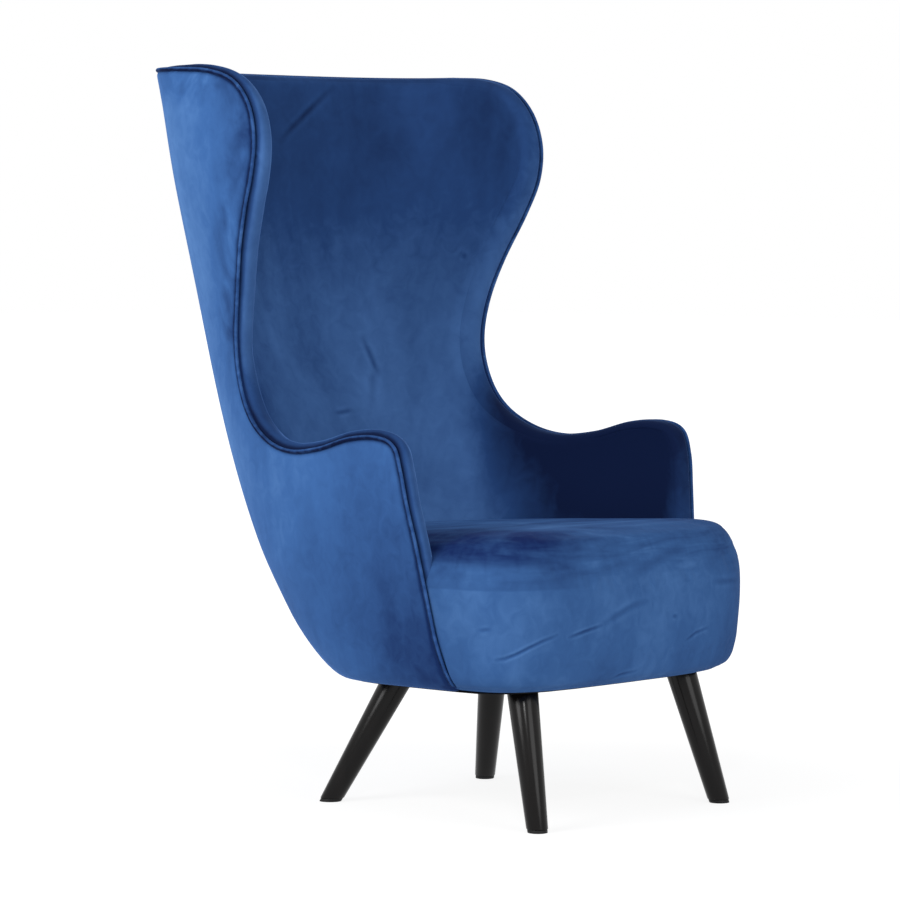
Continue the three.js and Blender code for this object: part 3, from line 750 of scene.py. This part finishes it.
bm = wall_skin(outer, cover_shift, lambda gap, step: hump(gap, 0, COVER_SEAM_SHADOW))
foot_edges = [
    edge for edge in bm.edges
    if edge.is_boundary and all(abs(vert.co.z - BASE_HEIGHT) < WELD for vert in edge.verts)
]
for _ in range(2):
    lip = bmesh.ops.extrude_edge_only(bm, edges=foot_edges)["geom"]
    foot_edges = [x for x in lip if isinstance(x, bmesh.types.BMEdge)]
    edge_verts = [x for x in lip if isinstance(x, bmesh.types.BMVert)]
    flat = np.array([vert.co[:] for vert in edge_verts])
    spots = np.full(len(flat), BASE_HEIGHT)
    runs = outer.run_at(flat[:, 1], spots)
    inward = -outer.outward(runs, spots, level=True)
    for vert, way in zip(edge_verts, inward):
        vert.co += Vector(way) * (LIP_WIDTH / 2)
        if abs(vert.co.x) < 0.002:
            vert.co.x = 0
mirror_skin(bm, False)
cover = piece("cover", bm, cover_velvet, ["outer_cover"], COVER_THICKNESS)

# Creases and dents in the padding: depth, width and the places that they run through
LINING_CREASES = [
    (0.0011, 0.005, [
        (-0.001, 0.4148, 1.1689), (0.0261, 0.4155, 1.1914), (0.058, 0.4157, 1.2141),
        (0.0972, 0.415, 1.2425), (0.1357, 0.4133, 1.2693),
    ]),
    (0.001, 0.0045, [
        (0.1492, 0.35, 0.805), (0.1526, 0.3405, 0.7828), (0.1565, 0.3289, 0.757),
        (0.1598, 0.3193, 0.7367),
    ]),
    (0.0005, 0.006, [
        (0.1565, 0.3289, 0.757), (0.1421, 0.3204, 0.7186), (0.1325, 0.309, 0.6821),
    ]),
    (0.001, 0.004, [
        (0.0448, 0.3197, 0.6699), (0.0626, 0.319, 0.6712), (0.085, 0.3174, 0.6742),
    ]),
    (0.0008, 0.0045, [(0.2877, 0.2271, 0.9609), (0.2886, 0.2179, 0.9535)]),
]
BAND_CREASES = [
    (0.0012, 0.0035, [(-0.374, 0.1095, 1.131), (-0.3655, 0.1108, 1.1345)]),
    (0.0014, 0.004, [(-0.369, 0.113, 1.1065), (-0.3605, 0.113, 1.1095)]),
]
SEAT_CREASES = [
    (0.0014, 0.0024, [
        (-0.316, -0.3936, 0.2936), (-0.3072, -0.4057, 0.2954), (-0.2957, -0.4177, 0.3021),
        (-0.2782, -0.4311, 0.3133), (-0.2561, -0.4427, 0.3241), (-0.2309, -0.4516, 0.3329),
    ]),
    (0.0014, 0.0024, [
        (-0.206, -0.4566, 0.328), (-0.1737, -0.462, 0.336), (-0.1341, -0.4658, 0.3435),
    ]),
    (0.0006, 0.005, [
        (-0.1341, -0.4658, 0.3435), (-0.0977, -0.4682, 0.358), (-0.0596, -0.4694, 0.3706),
        (-0.0175, -0.4698, 0.378),
    ]),
    (0.001, 0.0024, [
        (0.0932, -0.4635, 0.301), (0.1203, -0.4637, 0.3128), (0.1554, -0.4622, 0.3188),
    ]),
    (0.0006, 0.0045, [
        (0.1674, -0.4655, 0.3983), (0.2078, -0.46, 0.3953), (0.2594, -0.4459, 0.393),
    ]),
    (0.0004, 0.007, [
        (-0.048, -0.4683, 0.4259), (0.0038, -0.4652, 0.4413), (0.063, -0.4609, 0.4564),
        (0.1264, -0.4538, 0.4696),
    ]),
    (0.001, 0.0026, [
        (-0.0848, -0.4511, 0.2489), (-0.0627, -0.4547, 0.2541), (-0.0272, -0.4561, 0.2565),
    ]),
    (0.0007, 0.003, [(-0.3317, -0.3697, 0.3415), (-0.3248, -0.388, 0.3439)]),
    (0.0008, 0.003, [(0.0519, -0.4681, 0.3474), (0.0631, -0.4679, 0.3449)]),
]

# Lining: inside back, wings and arms, down behind the seat
LINING_FOOT = 0.36
LINING_THICKNESS = 0.014
inner = Wall(side_depth, back_depth)


def lining_shift(run, height, gap, step):
    return rolled(gap, roll_size(step))


bm = wall_skin(inner, lining_shift, lambda gap, step: 0 * gap)
low = [vert for vert in bm.verts if vert.co.z < LINING_FOOT]
bmesh.ops.delete(bm, geom=low, context="VERTS")
mirror_skin(bm, True)
press(bm, LINING_CREASES)
lining = piece("lining", bm, inner_velvet, ["inner_pad"], LINING_THICKNESS)


# Border strip, and piping beside it, both swept along the rim from arm to arm
def stations(foot):
    """Stations along the rim: the place at a depth in the wall, the way out, and the step."""
    rows = np.arange(0, RIM_END + 0.01, 0.08)
    reach, height = rim_place(rows)
    ahead, over = rim_place(rows + 0.01)
    way = np.stack([-(over - height), ahead - reach], axis=1)
    way /= np.linalg.norm(way, axis=1, keepdims=True)
    keep = height > foot
    keep |= rows > ARM_CORNER
    rows, reach, height, way = rows[keep], reach[keep], height[keep], way[keep]
    lifts = np.linspace(0, 1, 44)[1:]

    def at(side, back):
        """The stations' places on the rim's face, as deep in the side and the back as given."""
        half = half_at(Wall(side, back).plan(height), reach)
        sides = np.stack([half, reach, height], axis=1)
        half, start, corner = (x[0] for x in Wall(side, back).plan(np.array([RIM_HEIGHT])))
        first = math.asin(((reach[-1] - start) / corner) ** (PLAN_POWER / 2))
        angle = first + (math.pi / 2 - first) * lifts
        x, y = round_corner(half, start, corner, angle)
        return np.concatenate([sides, np.stack([x, y, np.full_like(x, RIM_HEIGHT)], axis=1)])

    out = np.concatenate([np.insert(way, 0, 0, axis=1), np.tile([0, 0, 1.0], (len(lifts), 1))])
    steps = np.concatenate([rows, RIM_END + (TOP_MIDDLE - RIM_END) * lifts])
    return at, out, steps


def both_sides(rings):
    """Rings of the right side, and the same on the left."""
    left = rings[:-1][::-1].copy()
    left[..., 0] *= -1
    return np.concatenate([rings, left])


# The strip laps over the piping's seam and turns in over the lining's roll
BAND_LAP = 0.0006
ROLL_TURN = math.radians(80)
at, out, steps = stations(BAND_FOOT)
near_depth = still(SHELL_DEPTH - BAND_LAP)
near = at(near_depth, near_depth)
far = at(side_depth, back_depth)
width = np.linalg.norm(far - near, axis=1)[:, None]
across = (far - near) / width
size = roll_size(steps)[:, None]

# Height of the padding along the rim, fuller on the left side, level across the top's middle
CROWN_STEPS = [0, 4.4, 6, 8, 10.5, 13, 14.5, 16, 17.5, 20, 21.5, 22.7, 24]
CROWN_LEFT = [0.009, 0.012, 0.0135, 0.015, 0.016, 0.009, 0.014,
              0.018, 0.015, 0.012, 0.0105, 0.004, 0.0015]
CROWN_RIGHT = [0.007, 0.006, 0.005, 0.005, 0.006, 0.006, 0.006,
               0.006, 0.006, 0.005, 0.004, 0.0015, 0.001]
# Brings the top of the padding's curve, a quarter of the way across, to the crown's height
CROWN_SCALE = 3.08
# Painted shade along the rim, painted light where it is below 0, and where the painted
# highlight line runs on the left side
PAINTED_SHADE_STEPS = [0, 4.4, 5.5, 9.5, 11, 12.5, 14, 15.5, 17.5, 19.5, 21, 22.5, 24]
PAINTED_SHADES = [0.2, 0.35, 0.7, 0.75, 0.6, 0.35, -0.05, -0.1, -0.65, -0.4, 0.15, 0.75, 0.6]
HIGHLIGHT_STEPS = [0, 4.5, 5.6, 6.5, 7.5, 8.7, 9.5, 10.3, 15.5, 17.8, 19.3, 20, 20.8, 24]
HIGHLIGHT_PLACES = [0.66, 0.66, 0.34, 0.25, 0.2, 0.24, 0.38, 0.53, 0.6, 0.68, 0.6, 0.42, 0.27, 0.2]


def band_rings(crown, line):
    """The strip across its width at each station, and its painted shade and highlight there.
    line is how strong the marks are on this side."""
    rings, edge = [], []
    crown = np.interp(steps, CROWN_STEPS, crown)[:, None]
    rim_shading = np.interp(steps, PAINTED_SHADE_STEPS, PAINTED_SHADES)[:, None] * line
    highlight_place = np.interp(steps, HIGHLIGHT_STEPS, HIGHLIGHT_PLACES)[:, None]
    # How strong the painted highlight line is: strongest along the arm, none over the top's middle,
    # and on the left side only
    pale = 0.3 + 0.4 * smooth(3, 5, steps) * smooth(11, 10, steps)
    pale = (pale * smooth(22, 20, steps))[:, None] * (line > 0.5)
    for place in np.linspace(0, 1, 36) ** 1.15:
        # Along the rim's face, then round the lining's roll, with the crown of the padding on top
        flat = width - size
        length = flat + size * ROLL_TURN
        turn = np.clip((place * length - flat) / size, 0, ROLL_TURN)
        ahead = np.minimum(place * length, flat) + size * np.sin(turn)
        rise = size * (np.cos(turn) - 1)
        pad = crown * CROWN_SCALE * place ** 0.5 * (1 - place) ** 1.5
        pad = pad - 0.0035 * (1 - place) ** 8 - 0.0005 * smooth(0.93, 1, place)
        ahead, rise = ahead + pad * np.sin(turn), rise + pad * np.cos(turn)
        rings.append(near + across * ahead + out * rise)
        # Painted shadow beside the piping and painted shade along the rim, less towards the inner
        # edge, then the painted highlight line taken off
        dark = hump(place * length, 0, 0.0035) * line + rim_shading * (1 - 0.7 * smooth(0.3, 1, place))
        edge.append(dark - pale * hump(place, highlight_place, 0.05))
    # The strip's back
    under = size - 0.0025
    for turn in (ROLL_TURN, ROLL_TURN / 2, 0):
        ahead = width - size + under * math.sin(turn)
        rings.append(near + across * ahead + out * (under * math.cos(turn) - size))
    for place in (0.5, 0):
        rings.append(near + across * (width - size) * place - out * 0.0095)
    edge += [0 * width] * 5
    return np.stack(rings, axis=1), np.stack([values[:, 0] for values in edge], axis=1)


right, right_edge = band_rings(CROWN_RIGHT, 0.3)
left, left_edge = band_rings(CROWN_LEFT, 0.9)
left = left[:-1][::-1] * (-1, 1, 1)
bm = bmesh.new()
add_tube(bm, np.concatenate([right, left]), edge=np.concatenate([right_edge, left_edge[:-1][::-1]]))
press(bm, BAND_CREASES)
band = piece("band", bm, band_velvet, ["edge_band"])

# Piping
PIPING_RADIUS = 0.0038
PIPING_PROUD = 0.0005
PIPING_SIDES = 20
PIPING_HIGHLIGHT_ANGLE = 105
at, out, steps = stations(BASE_HEIGHT)
centre = at(still(PIPING_DEPTH), still(PIPING_DEPTH))
across = at(still(SHELL_DEPTH), still(SHELL_DEPTH)) - centre
across /= np.linalg.norm(across, axis=1, keepdims=True)
rings, edge = [], []
for k in range(PIPING_SIDES):
    angle = math.tau * k / PIPING_SIDES
    round_way = across * math.cos(angle) + out * math.sin(angle)
    rings.append(centre + PIPING_RADIUS * round_way + out * PIPING_PROUD)
    # Painted highlight where it stands out, painted shade in both its seams
    away = abs(math.degrees(angle) - PIPING_HIGHLIGHT_ANGLE)
    away = min(away, 360 - away)
    edge.append(np.full(len(steps), float(smooth(40, 85, away)) * 0.75 - 0.05))
# More painted shade along the arm's top
edge = np.stack(edge, axis=1) + 0.25 * (smooth(4.2, 5.5, steps) * smooth(13, 11, steps))[:, None]
bm = bmesh.new()
rings = both_sides(np.stack(rings, axis=1))
# The right side gets less of the painted highlight and shade
add_tube(bm, rings, edge=np.concatenate([edge * 0.4, edge[:-1][::-1]]))
piece("piping", bm, piping_velvet, ["edge_piping"])


# Seat: a closed skin of rings, kept inside the tub behind the rim
SEAT_POINTS = 460
CAVITY_INSET = 0.041


def seat_ring(height, swell, share, lift, narrower=0.0):
    """The seat's plan at a height: swell as a share of SEAT_SWELL, share of the full size,
    lift as a share of the slope, and how much narrower it is."""
    angle = np.linspace(0, math.tau, 2400)
    sine, cosine = np.sin(angle), np.cos(angle)
    power = np.where(sine < 0, SEAT_POWER, PLAN_POWER)
    wall = Wall(still(0), back_depth).plan(np.array([height]))
    rear = wall[1][0] + wall[2][0] + 0.003 - SEAT_LINE - narrower
    bow = FRONT_REACH + SEAT_LINE + swell * SEAT_SWELL - narrower
    spread = SEAT_HALF + swell * SEAT_SWELL - narrower
    x = spread * np.sign(cosine) * abs(cosine) ** (2 / power)
    y = SEAT_LINE + np.where(sine < 0, bow, rear) * np.sign(sine) * abs(sine) ** (2 / power)
    # Points lie close together by the arms' fronts, and far apart inside the tub
    apart = 0.0025 + 0.0025 * smooth(-0.32, -0.345, y) + 0.0125 * smooth(-0.24, -0.2, y)
    run = np.append(0, np.cumsum(np.hypot(np.diff(x), np.diff(y)) / apart[1:]))
    even = np.linspace(0, run[-1], SEAT_POINTS + 1)[:-1]
    x, y = np.interp(even, run, x) * share, np.interp(even, run, y)
    y = SEAT_CENTRE + (y - SEAT_CENTRE) * share
    return np.stack([x, y, height + (SEAT_CENTRE - y) * SEAT_SLOPE * lift], axis=1)


def tub_half(depth, y, z):
    """Half the tub's width at places, a depth inside its outer face."""
    return half_at(Wall(still(depth), still(depth)).plan(z), y)


def in_tub(ring):
    """Keeps a ring inside the tub behind the rim, against the piping in front of it, and over
    the base frame behind the apron."""
    x, y, z = ring.T.copy()
    z = np.maximum(z, SEAT_BOTTOM + (FOAM_BOTTOM - SEAT_BOTTOM) * smooth(-0.262, -0.242, y))
    rim_reach, rim_height = rim_place(np.arange(0, ARM_CORNER, 0.05))
    ahead = np.interp(z, rim_height, rim_reach) - y
    depth = SEAT_PIPING_DEPTH + (SEAT_RIM_DEPTH - SEAT_PIPING_DEPTH) * smooth(0.002, -0.002, ahead)
    depth = depth + (SEAT_SIDE_DEPTH - SEAT_RIM_DEPTH) * smooth(-0.016, -0.024, ahead)
    limit = tub_half(depth, y, z)
    close = smooth(0.07, 0.012, ahead) * smooth(-0.03, -0.02, ahead)
    close = close * smooth(0.238, 0.262, z) * smooth(0.472, 0.41, z)
    wide = abs(x) + np.clip(limit - abs(x), 0, 0.03) * close * (abs(x) > 0.2)
    wide = wide - np.maximum(wide - limit, 0) * smooth(0.01, 0.003, ahead)
    return np.stack([np.sign(x) * wide, y, z], axis=1)


def seat_free(places):
    """How freely the cloth moves: 1 over the top and down the front, 0 where it is held."""
    x, y, z = places.T
    rim_reach, rim_height = rim_place(np.arange(0, ARM_CORNER, 0.05))
    front = smooth(0.004, 0.05, np.interp(z, rim_height, rim_reach) - y) * smooth(0.25, 0.29, z)
    return np.maximum(front, smooth(0.455, 0.475, z))


# Cloth simulation: how fine, how far the skin may move, and how the filling presses
CLOTH_VOXEL = 0.006
CLOTH_REACH = 0.004
CLOTH_QUALITY = 5
CLOTH_PRESSURE = 4
CLOTH_SHRINK = -0.012
CLOTH_FRAMES = 20
PIN_LEVELS = 10


def swell(bm, free):
    """Runs a cloth simulation of the cover over its filling, and moves the skin with the cloth.
    free says how freely each place moves, 0 to 1."""
    cloth = add_mesh("cloth", bm)
    scene = bpy.context.scene
    remesh = cloth.modifiers.new("remesh", "REMESH")
    remesh.mode, remesh.voxel_size = "VOXEL", CLOTH_VOXEL
    evaluated = cloth.evaluated_get(bpy.context.evaluated_depsgraph_get())
    cloth.data = bpy.data.meshes.new_from_object(evaluated)
    cloth.modifiers.clear()

    def places_of(mesh):
        flat = np.empty(len(mesh.vertices) * 3)
        mesh.vertices.foreach_get("co", flat)
        return flat.reshape(-1, 3)

    start = places_of(cloth.data)
    group = cloth.vertex_groups.new(name="held")
    held = np.round((1 - free(start)) * PIN_LEVELS)
    for level in range(PIN_LEVELS + 1):
        points = [int(i) for i in np.flatnonzero(held == level)]
        group.add(points, level / PIN_LEVELS, "REPLACE")
    simulation = cloth.modifiers.new("cloth", "CLOTH")
    settings = simulation.settings
    settings.quality = CLOTH_QUALITY
    settings.vertex_group_mass = "held"
    settings.use_pressure, settings.uniform_pressure_force = True, CLOTH_PRESSURE
    settings.shrink_min = CLOTH_SHRINK
    settings.effector_weights.gravity = 0
    simulation.collision_settings.use_collision = False
    for step in range(1, CLOTH_FRAMES + 1):
        scene.frame_set(step)
    moved = cloth.evaluated_get(bpy.context.evaluated_depsgraph_get())
    way = places_of(moved.data) - start
    length = np.linalg.norm(way, axis=1, keepdims=True)
    reach = CLOTH_REACH * np.tanh(length / CLOTH_REACH)
    way *= free(start)[:, None] * reach / np.maximum(length, 1e-9)
    scene.frame_set(1)
    bpy.data.objects.remove(cloth)
    tree = KDTree(len(start))
    for i, place in enumerate(start):
        tree.insert(place, i)
    tree.balance()
    for vert in bm.verts:
        found = tree.find_n(vert.co, 4)
        weights = np.array([1 / (distance + 1e-4) for _, _, distance in found])
        ways = way[[i for _, i, _ in found]]
        vert.co += Vector((ways * weights[:, None]).sum(axis=0) / weights.sum())
    furthest = float(np.linalg.norm(way, axis=1).max())
    print(f"cloth {len(start)} points, moved up to {furthest * 1000:.2f} mm")


# Up from the foam's bottom, round the apron, up its front and over the top to the middle
rings = [seat_ring(FOAM_BOTTOM, 0, share, 0, CAVITY_INSET) for share in (0, 0.25, 0.5, 0.75, 1)]
cavity = seat_ring(SEAT_BOTTOM, 0, 1, 0, CAVITY_INSET)
cavity[:, 0] = np.clip(cavity[:, 0], -FRAME_HALF, FRAME_HALF)
rings.append(in_tub(cavity))
rows = np.arange(len(SEAT_UP))
for step in np.concatenate([np.linspace(0, 8, 60), np.linspace(8, rows[-1], 44)[1:]]):
    up, full, share = (
        float(between(rows, values, step)) for values in (SEAT_UP, SEAT_OUT, SEAT_SHARES)
    )
    height = SEAT_BOTTOM + up * SEAT_RISE
    ring = seat_ring(height, min(full, 0.02), min(share, 1), smooth(6.5, 8.5, step))
    rings.append(in_tub(ring))
for share in (0.16, 0.12, 0.08, 0.04, 0):
    rings.append(seat_ring(SEAT_BOTTOM + SEAT_RISE, SEAT_OUT[-1], share, 1))
bm = bmesh.new()
rings = np.stack(rings)
add_tube(bm, rings, edge=np.zeros(rings.shape[:2]))
press(bm, SEAT_CREASES)
swell(bm, seat_free)
top = [vert for vert in bm.verts if vert.co.z > 0.462 and vert.co.y < 0.15]
for _ in range(10):
    bmesh.ops.smooth_vert(
        bm, verts=top, factor=0.5, use_axis_x=False, use_axis_y=False, use_axis_z=True,
    )
seat = piece("seat", bm, seat_velvet, ["seat_cushion"])

# The seat's cloth, drawn under the front rail to the dust cover: inset and height of its section
HEM_SECTION = [
    (0, 0.2432), (0.0055, 0.2388), (0.0125, 0.2352), (0.021, 0.2334),
    (0.034, 0.2326), (0.034, 0.2344), (0.018, 0.2364), (0.01, 0.2436),
]
rings = []
for inset, height in HEM_SECTION:
    ring = seat_ring(height, -1.12, 1, 0, inset)
    rings.append(ring[ring[:, 1] < SEAT_LINE + 0.02])
shortest = min(len(ring) for ring in rings)
picks = [np.linspace(0, len(ring) - 1, shortest).round().astype(int) for ring in rings]
bm = bmesh.new()
add_tube(bm, np.stack([ring[pick] for ring, pick in zip(rings, picks)], axis=1))
piece("seat_hem", bm, seat_velvet)

# Legs and glides. A foot's place is given at the floor, with how far it leans for each metre up
LEG_TOP = 0.23397
LEG_FOOT_RADIUS = 0.0175
LEG_TOP_RADIUS = 0.0278
LEG_SIDES = 64
GLIDE_HEIGHT = 0.006
GLIDE_GAP = 0.0003
GLIDE_INSET = 0.0012
EDGE_ROUND = 0.0008
FEET = {
    "front_left": (0.244, -0.423, -0.14, 0.27),
    "front_right": (-0.244, -0.423, 0.14, 0.27),
    "rear_left": (0.205, 0.096, -0.36, -0.415),
    "rear_right": (-0.205, 0.096, 0.36, -0.415),
}
leg_finish = leg_paint()
glide_finish = plain("nylon_glide", (12, 12, 13), (22, 22, 23), 300, 0.45, 0.15)


def turned(foot, narrower, bottom, top):
    """A leaning cone between two level cuts, with its edges broken."""
    x, y, side_lean, back_lean = foot
    low, high = -LEG_FOOT_RADIUS, LEG_TOP + LEG_TOP_RADIUS
    start, end = (Vector((x + side_lean * z, y + back_lean * z, z)) for z in (low, high))
    turn = (end - start).to_track_quat("Z", "Y").to_matrix().to_4x4()
    bm = bmesh.new()
    bmesh.ops.create_cone(
        bm, cap_ends=True, segments=LEG_SIDES, depth=(end - start).length,
        radius1=LEG_FOOT_RADIUS - narrower, radius2=LEG_TOP_RADIUS - narrower,
        matrix=Matrix.Translation((start + end) / 2) @ turn,
    )
    for height, way in ((bottom, -1), (top, 1)):
        bmesh.ops.bisect_plane(
            bm, geom=bm.verts[:] + bm.edges[:] + bm.faces[:],
            plane_co=(0, 0, height), plane_no=(0, 0, way), clear_outer=True,
        )
        close_holes(bm)

    def is_rim(edge):
        return len({abs(face.normal.z) > 0.9 for face in edge.link_faces}) == 2

    bmesh.ops.bevel(
        bm, geom=[edge for edge in bm.edges if is_rim(edge)], offset=EDGE_ROUND, segments=3,
        profile=0.5, affect="EDGES", material=-1,
    )
    bmesh.ops.recalc_face_normals(bm, faces=bm.faces)
    return bm


for name, foot in FEET.items():
    leg = turned(foot, 0, GLIDE_HEIGHT + GLIDE_GAP, LEG_TOP)
    piece(f"turned_leg_{name}", leg, leg_finish, [f"leg_{name}"])
    glide = turned(foot, GLIDE_INSET, 0, GLIDE_HEIGHT)
    piece(f"foot_glide_{name}", glide, glide_finish, [f"glide_{name}"])

# Finishes of the parts that keep their CAD shape, by how their names start or end
timber_finish, steel_finish = timber(), steel()
finishes = {
    "tub_shell": plain("moulded_shell", (168, 166, 158), (196, 195, 188), 120, 0.5, 0.2),
    "rail": timber_finish,
    "leg_block": timber_finish,
    "hanger_bolt": steel_finish,
    "leg_plate": steel_finish,
    "spring": steel_finish,
    "seat_spring": steel_finish,
    "seat_insulator": plain("wool_felt", (118, 110, 98), (158, 150, 138), 420, 0.8, 0.6),
    "dust_cover": plain("dust_cloth", (20, 20, 22), (34, 34, 37), 700, 0.8, 0.5, (1, 3, 1)),
}
for name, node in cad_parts.items():
    if node.hide_render:
        continue
    key = next(k for k in finishes if name.startswith(k) or name.endswith(k))
    node.data.materials.clear()
    node.data.materials.append(finishes[key])

# Floor and world: both glow white for the rays that show them, and light the chair softly
GLOW = 1.15
AMBIENT = 0.42
WHITE = (1, 1, 1, 1)
bm = bmesh.new()
bmesh.ops.create_grid(bm, x_segments=1, y_segments=1, size=30)
floor = add_mesh("floor", bm)
bm.free()
backdrop = Look("pale_floor", Base_Color=(0.9, 0.9, 0.9, 1), Roughness=0.9, Specular_IOR_Level=0.0)
glow = backdrop.node("ShaderNodeEmission", {}, {"Color": WHITE, "Strength": GLOW}).outputs[0]
distance = backdrop.node("ShaderNodeVectorMath", {"operation": "LENGTH"}, {0: backdrop.object})
open_floor = Value(backdrop, distance.outputs["Value"]).rise(0.6, 1.7) * 0.25 + 0.75
share = backdrop.seen() * (open_floor - 0.25) + 0.25
values = {0: share, 1: backdrop.shader.outputs[0], 2: glow}
mixed = backdrop.node("ShaderNodeMixShader", {}, values)
backdrop.tree.links.new(mixed.outputs[0], backdrop.output.inputs["Surface"])
floor.data.materials.append(backdrop.material)

world = bpy.data.worlds.new("studio")
bpy.context.scene.world = world
world.use_nodes = True
sky = Graph(world.node_tree)
ambient, shown = (
    sky.node("ShaderNodeBackground", {}, {"Color": WHITE, "Strength": strength}).outputs[0]
    for strength in (AMBIENT, 1.0)
)
mixed = sky.node("ShaderNodeMixShader", {}, {0: sky.seen(), 1: ambient, 2: shown})
sky.node("ShaderNodeOutputWorld", {}, {"Surface": mixed.outputs[0]})


def lamp(name, place, target, size, power):
    """A round lamp of a size in metres and a power in watts."""
    data = bpy.data.lights.new(name, "AREA")
    data.shape = "DISK"
    data.size = size
    data.energy = power
    made = add_object(name, data)
    made.location = place
    made.rotation_euler = (Vector(target) - Vector(place)).to_track_quat("-Z", "Y").to_euler()


# Lamps and camera. The focal length is in the photo's pixels
FOCAL_PIXELS = 4107
PICTURE_WIDTH = 900
CAMERA_TILT = math.radians(90 - 3.145)
CAMERA_TURN = math.radians(-47.785)
lamp("key", (-3.3, 0.3, 2.1), (0, 0, 0.7), 2.2, 66)
lamp("front", (-0.6, -4.0, 1.6), (0, 0, 0.5), 2.4, 42)
lamp("high", (-3.9, -3.5, 3.3), (0, 0, 0.4), 0.55, 38)
lamp("top", (0.2, 0.2, 3.8), (0, 0, 0.6), 2.4, 7)

camera_data = bpy.data.cameras.new("camera")
camera_data.sensor_width = 36
camera_data.lens = FOCAL_PIXELS * camera_data.sensor_width / PICTURE_WIDTH
camera_data.clip_start, camera_data.clip_end = 0.1, 100
camera = add_object("camera", camera_data)
camera.location = (-5.397, -4.900, 1.016)
camera.rotation_euler = (CAMERA_TILT, 0, CAMERA_TURN)
bpy.context.scene.camera = camera
bpy.context.scene.view_settings.view_transform = "Standard"
